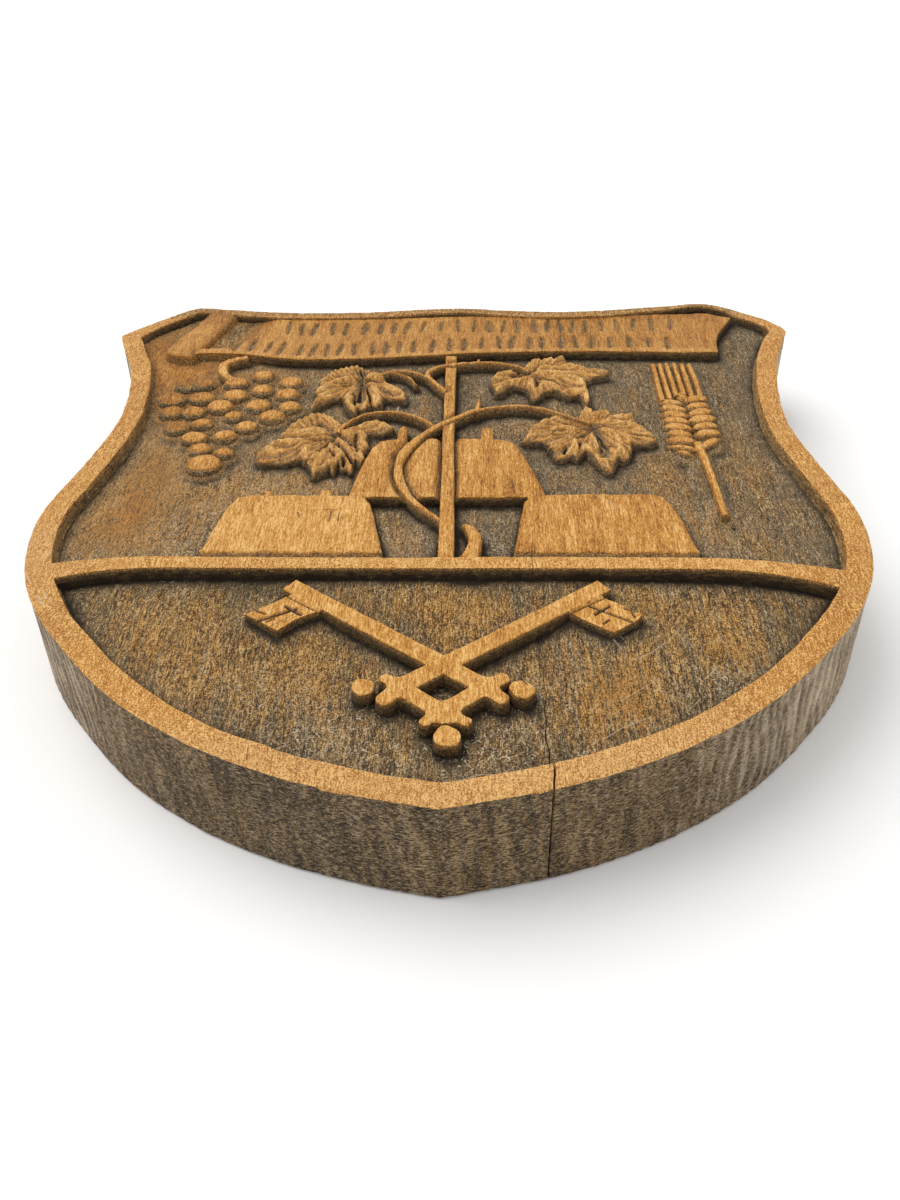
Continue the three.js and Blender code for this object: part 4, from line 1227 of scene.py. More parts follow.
@dataclass
class Stake(Relief):
    """The straight stake that the vine climbs, notched where the vine passes over it."""

    low, high, cell = (-5, -57), (5, 125), 0.55
    vine: Vine
    outline: tuple = (
        (-3.1, -56.0), (3.2, -56.0), (2.7, -20), (2.3, 10), (1.7, 45), (1.5, 80), (1.7, 123.5),
        (-3.8, 123.5), (-3.6, 80), (-3.5, 40), (-3.2, 0),
    )

    def measure(self, points: Array) -> Array:
        """Signed distance to the stake."""
        return outline_distance(points, self.outline) + 0.15 * lattice(points, (3, 11), 91)

    def top(self, points: Array, depth: Array) -> Surface:
        """Height, wear and painted light, grime and painted shade of the stake."""
        notch = ease(2.6, 0.4, self.vine.measure(points)) * (points[:, 1] > 40)
        height = FACE_Z - 0.2 + grain_relief(points, 92, 0.2) - rounding(depth, 1.0) * 0.5 - 1.5 * notch
        # Painted shade in the notches under the vine
        return height, 0.86 + 0.1 * lattice(points, (2, 20), 93) - 0.4 * notch, 0.3 * notch


@dataclass
class Mounds(Relief):
    """The three mounds, with grooves beside the stake and the vine."""

    low, high, cell = (-101, -56), (103, 52), 0.78
    vine: Vine
    stake: Stake
    upper: tuple = (
        (-43, -11.3), (-41.2, 5), (-38.2, 21), (-35.4, 31.5), (-32.6, 35.6), (-24.5, 38), (-24.3, 49),
        (-23.2, 50.2), (-20.6, 49.6), (-20, 38), (-10, 38.6), (10, 38.6), (14.3, 38.4), (14.3, 47),
        (15.4, 48.2), (18.8, 48), (19.8, 46.8), (20, 38), (26.4, 36.6), (30.6, 33.4), (33, 27), (36.6, 13),
        (39.6, 2), (42.2, -11.3),
    )
    left: tuple = (
        (-99.5, -54), (-98, -44), (-96.2, -33), (-94, -20), (-91, -13), (-86.5, -10.4), (-79.5, -10.2),
        (-78.8, -6.4), (-76.2, -6.4), (-75.6, -10), (-55.4, -10.2), (-54.8, -6), (-50.4, -6),
        (-49.8, -10.2), (-39, -10.4), (-35.2, -11.6), (-33.2, -15.4), (-29.6, -32), (-25.2, -54),
    )
    right: tuple = (
        (26.8, -54), (29, -38), (31, -24), (32.2, -15), (34.6, -10.8), (40, -9.6), (86, -8.8), (92, -11.6),
        (95, -17), (97.6, -28), (101.4, -54),
    )

    def measure(self, points: Array) -> Array:
        """Signed distance to the nearest mound."""
        wobble = 0.2 * lattice(points, 6, 95)
        shapes = [outline_distance(points, outline) for outline in (self.upper, self.left, self.right)]
        return np.min(shapes, 0) + wobble

    def top(self, points: Array, depth: Array) -> Surface:
        """Height, wear and painted light, grime and painted shade of the mounds."""
        x, y = points.T
        beside = np.minimum(self.vine.measure(points), self.stake.measure(points))
        channel = np.exp(-((np.maximum(beside, 0) / 1.7) ** 2)) * (y > -20)
        height = FACE_Z - 0.75 + grain_relief(points, 96, 0.3) + 0.22 * layered(points, (16, 30), 97, 2)
        sideways = np.abs(slope(self.measure, points, 0.5)[:, 0])
        flank = ease(1.8, 0, depth) * ease(0.4, 0.9, sideways) * (y > -50)
        height -= rounding(depth, 0.9) * (0.4 + 0.2 * lattice(points, 3.4, 99)) + 2.3 * channel + 0.7 * flank
        # Painted shade in the grooves beside the stake and the vine, along the foot and on the steep side
        # edges
        wear_and_light = 0.86 + 0.22 * layered(points, (4, 40), 98, 2) - 0.1 * flank + 0.2 * ease(0, -40, x) * (y < -8)
        foot = ease(2.6, 1.0, y + 54 + 0.5 * lattice(points, 5, 89))
        height -= 1.5 * foot
        return height, wear_and_light - 0.75 * channel - 0.7 * foot, 0.55 * channel + 0.5 * foot


@dataclass(frozen=True)
class Leaf(Relief):
    """A vine leaf: its outline, the ribs that stand up and the veins that are cut in, in plan."""

    cell, draft, wall_grime_and_shade = 0.52, 0.28, 0.72
    hub: Spot
    outline: tuple
    ribs: tuple
    veins: tuple

    def measure(self, points: Array) -> Array:
        """Signed distance to the leaf."""
        ragged = 0.35 * lattice(points, 2.3, 104)
        return outline_distance(points, self.outline) - 0.2 + ragged

    def top(self, points: Array, depth: Array) -> Surface:
        """Height, wear and painted light, grime and painted shade of the leaf."""
        gaps = [line_distance(points, curve_through(rib, 3))[0] for rib in self.ribs]
        gap = np.min(gaps, 0) + 0.3 * lattice(points, 3.0, 101)
        near, lift = np.exp(-np.abs(gap) / 4.2), np.exp(-np.abs(gap) / 1.1)
        sunk = np.zeros(len(points))
        for half, vein in self.veins:
            away, along = line_distance(points, curve_through(vein, 3))
            narrow = half * (1 - 0.45 * along / max(float(along.max()), 1.0))
            sunk = np.maximum(sunk, np.exp(-((away / narrow) ** 2)))
        local = points - self.hub
        drift = 1.2 * lattice(points, 7, 100) + 0.4 * lattice(points, 2.8, 105)
        fold = 0.5 - np.abs(np.sin(np.arctan2(local[:, 1], local[:, 0]) * 19 + drift))
        fold = fold * ease(4, 9, np.hypot(*local.T))
        crumb = 0.25 * layered(points, (1.1, 1.8), 102, 2)
        above = 2.3 + 2.6 * near + 0.7 * lift - 2.5 * sunk + 0.9 * fold + crumb
        height = np.minimum(GROUND_Z + above - 0.6 * rounding(depth, 1.0), FACE_Z + 0.3)
        # Painted highlight on the ribs, with wear; painted shade in the veins and the fold valleys
        wear_and_light = 0.64 + 0.26 * near + 0.42 * lift - 0.6 * sunk + 0.5 * fold
        return height, wear_and_light, np.clip(0.8 * sunk + 0.06 * (0.4 - near) - 0.85 * fold - 0.2 * lift, 0, 1)

    @property
    def low(self) -> Spot:
        """Lowest corner of the leaf's plan."""
        return tuple(np.min(self.outline, 0) - 2.0)

    @property
    def high(self) -> Spot:
        """Highest corner of the leaf's plan."""
        return tuple(np.max(self.outline, 0) + 2.0)


LEAF_FORMS = [
    # Upper left leaf
    Leaf((-44, 99), (
        (-49, 113), (-44, 111), (-39, 108), (-36, 103), (-33, 97), (-29, 92), (-24, 85), (-23, 79),
        (-27, 80), (-33, 82), (-35, 80), (-35, 74), (-37, 72), (-40, 76), (-40, 72), (-42, 69), (-44, 70),
        (-46, 72), (-47, 66), (-51, 72), (-53, 80), (-55, 83), (-59, 81), (-62, 78), (-65, 75), (-68, 69),
        (-67, 77), (-66, 83), (-68, 86), (-68, 93), (-66, 97), (-67, 100), (-62, 105), (-60, 108),
        (-55, 112),
    ), (
        ((-44, 108), (-49, 112), (-55, 110), (-60, 107), (-64, 100)),
        ((-47, 103), (-52, 101), (-59, 97), (-64, 90), (-66, 86)), ((-47, 93), (-50, 89), (-53, 85)),
        ((-56, 88), (-61, 85), (-65, 80), (-68, 70)), ((-47, 90), (-51, 82), (-50, 74), (-48, 68)),
        ((-41, 94), (-38, 86), (-36, 74)), ((-34, 93), (-28, 88), (-24, 82)),
        ((-43, 103), (-40, 104), (-36, 103)), ((-43, 75), (-41, 70)),
    ), (
        (2.6, ((-47, 109), (-46, 99), (-46, 87), (-45, 76))), (1.4, ((-44, 99), (-40, 99), (-36, 97))),
        (1.1, ((-46, 95), (-53, 94), (-57, 90))), (0.9, ((-47, 100), (-53, 104), (-59, 103))),
        (0.8, ((-44, 94), (-38, 91), (-34, 88), (-29, 83))), (0.8, ((-43, 92), (-41, 84), (-40, 77))),
        (0.8, ((-48, 84), (-48, 77), (-47, 72))),
    )),
    # Lower left leaf
    Leaf((-53, 44), (
        (-51, 51), (-55, 57), (-58, 60), (-64, 63), (-68, 61), (-72, 56), (-76, 50), (-79, 42), (-83, 35),
        (-88, 23), (-86, 20), (-80, 21), (-74, 21), (-71, 23), (-67, 24), (-65, 20), (-62, 16), (-60, 9),
        (-59, 11), (-56, 13), (-54, 16), (-52, 12), (-52, 18), (-50, 21), (-48, 15), (-46, 16), (-44, 13),
        (-44, 19), (-43, 24), (-40, 19), (-39, 22), (-40, 28), (-38, 34), (-40, 39), (-39, 42), (-41, 47),
        (-38, 48), (-32, 47), (-27, 50), (-34, 55), (-39, 55), (-45, 51), (-49, 47),
    ), (
        ((-53, 52), (-58, 58), (-64, 62), (-68, 60), (-72, 56), (-76, 49)),
        ((-56, 46), (-61, 48), (-70, 47), (-76, 46)), ((-57, 44), (-64, 46), (-73, 44), (-79, 42)),
        ((-56, 40), (-63, 40), (-69, 37), (-79, 37), (-87, 25)), ((-66, 32), (-65, 25), (-64, 21)),
        ((-62, 23), (-59, 25), (-60, 16), (-59, 12), (-54, 17), (-52, 20), (-50, 23), (-50, 28), (-52, 30)),
        ((-52, 39), (-50, 35), (-47, 30), (-45, 26), (-43, 26)),
        ((-43, 45), (-40, 41), (-41, 37), (-39, 33), (-40, 30)),
        ((-49, 46), (-44, 49), (-39, 54), (-34, 54), (-27, 50)), ((-56, 35), (-55, 32), (-57, 27)),
        ((-41, 26), (-40, 21)),
    ), (
        (2, ((-53, 44), (-56, 46), (-60, 51), (-63, 55))), (1, ((-62, 51), (-70, 50), (-76, 48))),
        (1.1, ((-53, 44), (-58, 43), (-65, 41), (-71, 40), (-79, 40))),
        (0.9, ((-54, 41), (-59, 39), (-67, 38))), (1.4, ((-53, 43), (-57, 35), (-60, 30), (-61, 26))),
        (1.7, ((-53, 44), (-47, 38), (-45, 34))), (1, ((-52, 36), (-50, 31), (-46, 24), (-44, 19))),
        (0.9, ((-48, 23), (-48, 17))), (1, ((-44, 44), (-44, 36), (-42, 28))),
        (0.8, ((-57, 32), (-52, 25))), (0.8, ((-65, 20), (-62, 21))),
    )),
    # Upper right leaf
    Leaf((40, 109), (
        (37, 113), (39, 119), (43, 122), (46, 120), (49, 123), (53, 121), (56, 125), (59, 122), (56, 116),
        (60, 116), (63, 114), (68, 112), (75, 109), (80, 107), (75, 105), (71, 104), (67, 100), (66, 96),
        (67, 89), (67, 81), (66, 74), (65, 82), (63, 85), (58, 84), (55, 86), (53, 88), (51, 90), (48, 89),
        (45, 87), (42, 82), (40, 81), (39, 86), (38, 91), (35, 93), (30, 94), (27, 92), (25, 88), (22, 86),
        (22, 91), (20, 97), (21, 102), (24, 107), (30, 108), (34, 106),
    ), (
        ((39, 113), (42, 119), (45, 120)), ((47, 119), (50, 122), (52, 120)), ((53, 120), (57, 123)),
        ((43, 110), (46, 113), (53, 112), (61, 114), (67, 111)),
        ((42, 107), (49, 107), (60, 105), (70, 108), (79, 107)),
        ((52, 102), (61, 101), (65, 97), (66, 89), (67, 77)), ((21, 99), (24, 105), (30, 107)),
        ((24, 89), (26, 93), (30, 96), (36, 99), (39, 101)), ((39, 100), (40, 92), (41, 88)),
        ((41, 88), (44, 89), (46, 95), (50, 93), (53, 89)), ((57, 86), (61, 88), (65, 86)),
    ), (
        (2.4, ((38, 109), (42, 108))), (1.3, ((38, 106), (34, 105), (29, 104))),
        (1.4, ((40, 105), (43, 98), (42, 93))), (0.9, ((52, 95), (58, 93), (65, 91))),
        (0.9, ((42, 104), (47, 101), (54, 95))), (1, ((42, 110), (46, 116), (55, 115))),
        (0.8, ((46, 110), (55, 109), (67, 108))),
    )),
    # Lower right leaf
    Leaf((68, 52), (
        (62, 64), (65, 69), (68, 67), (68, 63), (72, 66), (75, 66), (76, 63), (81, 63), (86, 62), (87, 57),
        (90, 53), (92, 48), (95, 39), (91, 37), (87, 37), (83, 36), (83, 32), (81, 25), (79, 22), (76, 24),
        (74, 19), (72, 13), (70, 14), (67, 20), (65, 25), (63, 29), (62, 30), (60, 28), (58, 24), (56, 27),
        (52, 25), (49, 24), (48, 27), (47, 32), (45, 32), (47, 36), (43, 39), (40, 39), (34, 39), (37, 47),
        (40, 52), (43, 56), (48, 60), (51, 61), (56, 58), (61, 57),
    ), (
        ((63, 63), (65, 68), (67, 64)), ((68, 62), (72, 65), (75, 64)), ((75, 57), (82, 61), (86, 61)),
        ((73, 55), (78, 55), (86, 52), (90, 46), (95, 40)), ((81, 44), (88, 43), (93, 40)),
        ((69, 50), (77, 45), (82, 40), (83, 36)), ((77, 41), (78, 34), (76, 26), (73, 21), (70, 19)),
        ((66, 44), (67, 37), (68, 31)), ((64, 31), (65, 26), (67, 22), (70, 19)),
        ((52, 60), (46, 56), (40, 51), (37, 43)), ((58, 48), (52, 50), (46, 45), (39, 42)),
        ((57, 39), (51, 35), (47, 31)), ((57, 40), (58, 34), (57, 28)), ((62, 33), (60, 30)),
    ), (
        (2.5, ((68, 53), (69, 42), (70, 34), (70, 23))), (2.2, ((68, 53), (72, 52), (76, 49))),
        (1, ((76, 49), (83, 44), (89, 42), (94, 40))), (1.6, ((68, 52), (64, 51), (60, 51), (54, 55))),
        (1, ((67, 50), (64, 45), (58, 41), (51, 34))), (0.7, ((71, 34), (76, 33))),
        (0.8, ((42, 44), (48, 46), (54, 49))), (0.8, ((60, 37), (59, 30))),
        (0.8, ((74, 59), (80, 57), (85, 56))), (0.8, ((53, 33), (52, 27))),
    )),
]


@dataclass
class Keys(Relief):
    """The two crossed keys, with their bits, bows and loose knobs."""

    low, high, cell, draft, wall_grime_and_shade = (-78, -163), (77, -70), 0.5, 0.1, 0.8
    shank: float = 7.4
    bow: float = 6.6
    bows: tuple = (((-14.5, -131.5), (1.5, -145)), ((15.5, -131.2), (-0.5, -145)))
    lobes: tuple = (
        ((-14, -131.5), (-19.4, -127.2), 2.1), ((-14.5, -132), (-19.2, -138), 2.9),
        ((15, -131), (21.4, -127.2), 2.5), ((15.5, -132), (20.8, -137.4), 2.5),
        ((0.5, -143), (-5, -149), 1.9), ((1, -143), (8.8, -148.8), 1.9), ((1.2, -143), (2, -147), 2.9),
    )
    knobs: tuple = (((-26.6, -132.2), 4.2), ((27.6, -132.6), 4.2), ((2.6, -155.2), 4.5))
    left_bit: tuple = ((-55.5, -78.5), (-58.6, -80.6), (-74, -91.6), (-60.8, -101.4), (-59, -99.4),
                       (-56, -95.6), (-51, -92), (-46.6, -90), (-43, -86))
    right_bit: tuple = ((57, -78.5), (60, -80.6), (73.6, -91.4), (71, -95), (62, -101.6), (54, -96),
                        (47, -90.4), (44, -86))
    cuts: tuple = (
        ((-68.5, -95.2), (-55.5, -88.2), 1.5), ((-59.5, -86.8), (-53.4, -91.6), 1.3),
        ((-70.5, -89), (-66.6, -91.2), 0.9), ((-65.5, -96), (-63, -94.4), 0.7),
        ((54.8, -86.3), (71, -96.4), 1.1), ((62, -86), (56.2, -91), 1.1), ((67.5, -87.5), (70.8, -89.5), 0.9),
        ((70, -90.5), (70.6, -92.5), 0.8), ((59, -96.3), (61, -94.5), 0.8),
        ((-59.5, -81.2), (-46.4, -90.8), 0.5), ((60.6, -81.2), (47, -90.8), 0.5),
    )

    def shanks(self, points: Array) -> Array:
        """Signed distance to the two shanks."""
        left = bar_distance(points, (-59.8, -74), (14.5, -130.8), self.shank)
        return np.minimum(left, bar_distance(points, (61, -74), (-13.5, -131.2), self.shank))

    def measure(self, points: Array) -> Array:
        """Signed distance to the keys."""
        whole = self.shanks(points)
        for start, end in self.bows:
            whole = np.minimum(whole, bar_distance(points, start, end, self.bow))
        for start, lobe, half in self.lobes:
            whole = blend_union(whole, bar_distance(points, start, lobe, 0.8) - half + 0.3, 2.8)
        whole = np.minimum(whole, self.bits(points))
        ragged = 0.8 * lattice(points, 3.1, 111)
        for knob, radius in self.knobs:
            whole = np.minimum(whole, disc_distance(points, knob, radius) + ragged)
        return whole + 0.2 * layered(points, 4.5, 112, 2)

    def bits(self, points: Array) -> Array:
        """Signed distance to the two bits."""
        return np.min([outline_distance(points, outline) for outline in (self.left_bit, self.right_bit)], 0)

    def top(self, points: Array, depth: Array) -> Surface:
        """Height, wear and painted light, grime and painted shade of the keys."""
        height = FACE_Z - 0.3 + grain_relief(points, 113, 0.1) + 0.12 * layered(points, 9, 114, 2)
        height -= rounding(depth, 0.8) * (0.4 + 0.2 * lattice(points, 3, 116))
        height -= 0.8 * ease(0.2, 0.9, self.shanks(points)) * ease(0.4, -0.4, self.bits(points))
        deepest = np.zeros(len(points))
        for start, end, width in self.cuts:
            gap, _ = line_distance(points, (start, end))
            deepest = np.maximum(deepest, np.clip(1.7 - 1.7 * gap / (width * 0.72), 0, 1))
        # Painted highlight along the edges, with wear; painted shade in the cut marks
        wear_and_light = 0.93 + 0.18 * layered(points, (4, 12), 115, 2) + 0.12 * ease(1.3, 0.4, depth)
        return height - 1.3 * deepest, wear_and_light - 0.3 * deepest, deepest


# Node trees


class Nodes:
    """Shorthands for making the nodes of one tree."""

    def __init__(self, tree: bpy.types.NodeTree) -> None:
        """Keeps the tree."""
        self.tree = tree

    def add(self, kind: str, inputs: dict | None = None, **settings: object) -> bpy.types.Node:
        """Adds a node.

        Args:
            kind: The node's type.
            inputs: Values or sockets, by the input's name or number.
            settings: Properties to set on the node.

        Returns:
            The node.
        """
        node = self.tree.nodes.new(kind)
        for name, value in settings.items():
            setattr(node, name, value)
        for key, value in (inputs or {}).items():
            if isinstance(value, Socket):
                self.tree.links.new(value, node.inputs[key])
            else:
                node.inputs[key].default_value = value
        return node

    def first(self, kind: str, inputs: dict | None = None, **settings: object) -> Socket:
        """Adds a node and gives its first output."""
        return self.add(kind, inputs, **settings).outputs[0]

    def math(self, operation: str, *values: object) -> Socket:
        """Adds a Math node and gives its output."""
        return self.first("ShaderNodeMath", dict(enumerate(values)), operation=operation)

    def vector(self, operation: str, *values: object) -> Socket:
        """Adds a Vector Math node and gives its output."""
        return self.first("ShaderNodeVectorMath", dict(enumerate(values)), operation=operation)

    def spread(self, value: object, low: float, high: float, most: float = 1.0) -> Socket:
        """Stretches a range to 0 to most."""
        return self.first("ShaderNodeMapRange", {0: value, 1: low, 2: high, 4: most}, clamp=True)

    def swing(self, value: object, width: float) -> Socket:
        """Noise about zero, with the given full width."""
        return self.math("MULTIPLY", self.math("SUBTRACT", value, 0.5), width)

    def total(self, *values: object) -> Socket:
        """The sum of several numbers."""
        whole = values[0]
        for value in values[1:]:
            whole = self.math("ADD", whole, value)
        return whole

    def mix(self, share: object, first: object, second: object) -> Socket:
        """Mixes two colours."""
        pair = [(*c, 1.0) if isinstance(c, tuple) else c for c in (first, second)]
        return self.add("ShaderNodeMix", {0: share, 6: pair[0], 7: pair[1]}, data_type="RGBA").outputs[2]

    def ramp(self, value: object, colours: Colours) -> Socket:
        """Colours spaced evenly over 0 to 1."""
        node = self.add("ShaderNodeValToRGB", {0: value})
        stops = node.color_ramp.elements
        for _ in colours[2:]:
            stops.new(0.5)
        for number, colour in enumerate(colours):
            stops[number].position = number / (len(colours) - 1)
            stops[number].color = (*colour, 1.0)
        return node.outputs[0]

    def finish(self, inputs: dict) -> None:
        """Ends a material's tree with its shader."""
        self.add("ShaderNodeOutputMaterial", {"Surface": self.first("ShaderNodeBsdfPrincipled", inputs)})


def new_material(name: str) -> tuple[Material, Nodes]:
    """Makes a material with an empty tree."""
    finish = bpy.data.materials.new(name)
    finish.use_nodes = True
    finish.node_tree.nodes.clear()
    return finish, Nodes(finish.node_tree)


class ShapeTree:
    """A Geometry Nodes tree with named inputs, run once on an object."""

    SOCKETS = {float: "NodeSocketFloat", int: "NodeSocketInt", Material: "NodeSocketMaterial"}

    def __init__(self, name: str, inputs: dict[str, object]) -> None:
        """Makes the tree, with an interface for the named inputs."""
        self.tree = bpy.data.node_groups.new(name, "GeometryNodeTree")
        self.values = inputs
        face = self.tree.interface
        face.new_socket(name="Geometry", in_out="INPUT", socket_type="NodeSocketGeometry")
        for title, value in inputs.items():
            face.new_socket(name=title, in_out="INPUT", socket_type=self.SOCKETS[type(value)])
        face.new_socket(name="Geometry", in_out="OUTPUT", socket_type="NodeSocketGeometry")
        self.nodes = Nodes(self.tree)
        self.given = self.nodes.add("NodeGroupInput").outputs

    def shape(self, geometry: Socket, grain: float) -> None:
        """Ends the tree: knife marks, steep flanks with a flat top, Realize Instances and Set Material.

        The inputs Roughness and Seed set the marks. Lift, Height and Cap set the height round which the form
        is modelled, how much steeper its flanks become and how far above Lift its top stays.

        Args:
            geometry: The surface.
            grain: Noise cells of the knife marks for each metre.
        """
        first, calc, face = self.nodes.first, self.nodes.math, self.given
        place = self.nodes.vector("MULTIPLY", first("GeometryNodeInputPosition"), (grain, grain, grain))
        noise = first("ShaderNodeTexNoise", {"Vector": place, "W": face["Seed"], "Scale": 1.0, "Detail": 2.0},
                      noise_dimensions="4D")
        push = calc("MULTIPLY", calc("SUBTRACT", noise, 0.5), face["Roughness"])
        away = first("ShaderNodeVectorMath", {0: first("GeometryNodeInputNormal"), "Scale": push},
                     operation="SCALE")
        rough = first("GeometryNodeSetPosition", {"Geometry": geometry, "Offset": away})
        x, y, z = self.nodes.add("ShaderNodeSeparateXYZ", {0: first("GeometryNodeInputPosition")}).outputs
        over = calc("MULTIPLY", calc("SUBTRACT", z, face["Lift"]), face["Height"])
        bent = calc("TANH", calc("DIVIDE", over, face["Cap"]))
        level = calc("MULTIPLY_ADD", bent, face["Cap"], face["Lift"])
        moved = first("ShaderNodeCombineXYZ", {0: x, 1: y, 2: level})
        steep = first("GeometryNodeSetPosition", {"Geometry": rough, "Position": moved})
        smooth = first("GeometryNodeSetShadeSmooth", {"Geometry": steep})
        real = first("GeometryNodeRealizeInstances", {"Geometry": smooth})
        dressed = first("GeometryNodeSetMaterial", {"Geometry": real, "Material": face["Finish"]})
        self.nodes.add("NodeGroupOutput", {"Geometry": dressed})

    def apply(self, carrier: Piece, name: str, shoulder: float = 42.0, foot_shade: float = 0.66) -> Piece:
        """Runs the tree on an object and keeps the result as a plain mesh.

        Args:
            carrier: The object whose geometry goes in; it is deleted.
            name: Name of the result.
            shoulder: Height where the top, paler from wear and painted light, starts, in millimetres.
            foot_shade: How dark the foot is with painted shade, 0 to 1.

        Returns:
            The new object.
        """
        modifier = carrier.modifiers.new(name, "NODES")
        modifier.node_group = self.tree
        for item in self.tree.interface.items_tree:
            if item.in_out == "INPUT" and item.name in self.values:
                modifier[item.identifier] = self.values[item.name]
        graph = bpy.context.evaluated_depsgraph_get()
        mesh = bpy.data.meshes.new_from_object(carrier.evaluated_get(graph))
        carrier.modifiers.remove(modifier)
        bpy.data.objects.remove(carrier)
        weather(mesh, shoulder, foot_shade)
        return link(name, mesh)


def weather(mesh: bpy.types.Mesh, shoulder: float, foot_shade: float) -> None:
    """Gives a raised form paler tops by height, as wear and painted light, and painted shade at its foot, on
    faces turned to the camera and at the far left.
    """
    spots, lean = np.empty((2, len(mesh.vertices) * 3), np.float32)
    mesh.vertices.foreach_get("co", spots)
    mesh.vertices.foreach_get("normal", lean)
    x, y, z = (spots.reshape(-1, 3) / MM).T
    plan = np.stack([x, y], 1)
    # Painted shade on faces turned to the camera
    front = ease(-0.16, -0.6, lean[1::3])
    height = z + 0.35 * layered(plan, 2.4, 121, 2)
    shaded = 0.35 * ease(-118, -136, x + 4 * lattice(plan, 9, 122))
    store(mesh, "wear_and_light", 0.36 + 0.56 * ease(shoulder, shoulder + 1.3, height) - shaded - 0.25 * front)
    store(mesh, "grime_and_shade", np.maximum(foot_shade * ease(shoulder + 0.6, shoulder - 1.8, height), 0.34 * front))


def bead_tree(finish: Material, rings: int, roughness: float, height: float, cap: float) -> ShapeTree:
    """A tree that sets a rounded bead on each point, sized and turned by the points' own attributes.

    Args:
        finish: Material of the beads.
        rings: Subdivisions of a bead.
        roughness: Depth of the knife marks, in millimetres.
        height: How much steeper than round the beads are.
        cap: Height of the flattened tops above the ground, in millimetres.

    Returns:
        The tree.
    """
    tree = ShapeTree("beads", {"Radius": 1.0 * MM, "Rings": rings, "Roughness": roughness * MM, "Seed": 7.0,
                               "Lift": GROUND_Z * MM, "Height": height, "Cap": cap * MM, "Finish": finish})
    first, face = tree.nodes.first, tree.given
    bead = first("GeometryNodeMeshIcoSphere", {"Radius": face["Radius"], "Subdivisions": face["Rings"]})
    turn, size = (first("GeometryNodeInputNamedAttribute", {"Name": title}, data_type="FLOAT_VECTOR")
                  for title in ("turn", "size"))
    rotation = first("FunctionNodeEulerToRotation", {0: turn})
    placed = first("GeometryNodeInstanceOnPoints",
                   {"Points": face["Geometry"], "Instance": bead, "Rotation": rotation, "Scale": size})
    tree.shape(first("GeometryNodeRealizeInstances", {"Geometry": placed}), 330.0)
    return tree


def stem_tree(finish: Material, height: float, cap: float, facets: int, seed: float) -> ShapeTree:
    """A tree that lays a stem along each line, with the line's own radius.

    Args:
        finish: Material of the stems.
        height: How much steeper than round the stems are.
        cap: Height of their flattened tops above the ground, in millimetres.
        facets: Sides of a stem.
        seed: Seed of the knife marks.

    Returns:
        The tree.
    """
    tree = ShapeTree("stems", {"Lift": GROUND_Z * MM, "Height": height, "Cap": cap * MM, "Facets": facets,
                               "Step": 0.7 * MM, "Roughness": 0.8 * MM, "Seed": seed, "Finish": finish})
    first, face = tree.nodes.first, tree.given
    even = first("GeometryNodeResampleCurve", {"Curve": face["Geometry"], "Length": face["Step"]},
                 mode="LENGTH")
    ring = first("GeometryNodeCurvePrimitiveCircle", {"Resolution": face["Facets"], "Radius": 1.0})
    tube = first("GeometryNodeCurveToMesh", {"Curve": even, "Profile Curve": ring, "Fill Caps": True,
                                             "Scale": first("GeometryNodeInputRadius")})
    tree.shape(tube, 300.0)
    return tree


def point_cloud(name: str, spots: Array, sizes: Array, turns: Array) -> Piece:
    """Makes an object of loose points that carry a size and a turn.

    Args:
        name: The object's name.
        spots: Points in millimetres, n x 3.
        sizes: Size of each along its own axes, n x 3.
        turns: Turn of each in plan, in radians.

    Returns:
        The object.
    """
    mesh = bpy.data.meshes.new(name)
    mesh.vertices.add(len(spots))
    mesh.vertices.foreach_set("co", (spots * MM).ravel())
    for title, values in (("size", sizes), ("turn", np.outer(turns, (0, 0, 1)))):
        mesh.attributes.new(title, "FLOAT_VECTOR", "POINT").data.foreach_set("vector", values.ravel())
    return link(name, mesh)


@dataclass
class Grapes:
    """The bunch of grapes."""

    height: float = 5.2
    berries: tuple = (
        (-97, 104.5, 5.6), (-82, 97.5, 6.2), (-109.5, 97, 6.2), (-126, 95.5, 6), (-134.5, 92.5, 5.2),
        (-95, 89, 5.4), (-82, 85, 5.9), (-108, 83.5, 6.3), (-124, 81, 6.2), (-138.4, 79, 6.6),
        (-94.8, 73, 6.3), (-113.5, 72, 6.2), (-79, 71.5, 5.8), (-136, 66, 6.2), (-125.6, 66.2, 5.6),
        (-105, 62.5, 5.4), (-86.5, 62.5, 6.2), (-119, 55, 5.4), (-130.4, 51, 6), (-97, 52, 5.6),
        (-106, 43, 5.7), (-120, 41, 6.2), (-115.4, 31.5, 5.4), (-103.4, 28, 4.6), (-111, 17.5, 7.6),
    )

    def measure(self, points: Array) -> Array:
        """Signed distance to the nearest berry."""
        return np.min([disc_distance(points, (x, y), radius) for x, y, radius in self.berries], 0)

    def build(self, finish: Material) -> Piece:
        """Makes the berries as one mesh."""
        x, y, radius = np.array(self.berries).T
        rng = np.random.default_rng(131)
        wide, many = radius * 1.14, len(x)
        sizes = np.column_stack([wide, wide * rng.uniform(0.86, 1.0, many), wide - rng.uniform(0, 1.6, many)])
        spots = raised(np.stack([x, y], 1), GROUND_Z)
        cloud = point_cloud("berries", spots, sizes, rng.uniform(0, 0.5, many))
        tree = bead_tree(finish, rings=5, roughness=1.5, height=1.3, cap=self.height)
        return tree.apply(cloud, Charge.GRAPES.value, shoulder=42.7, foot_shade=0.5)


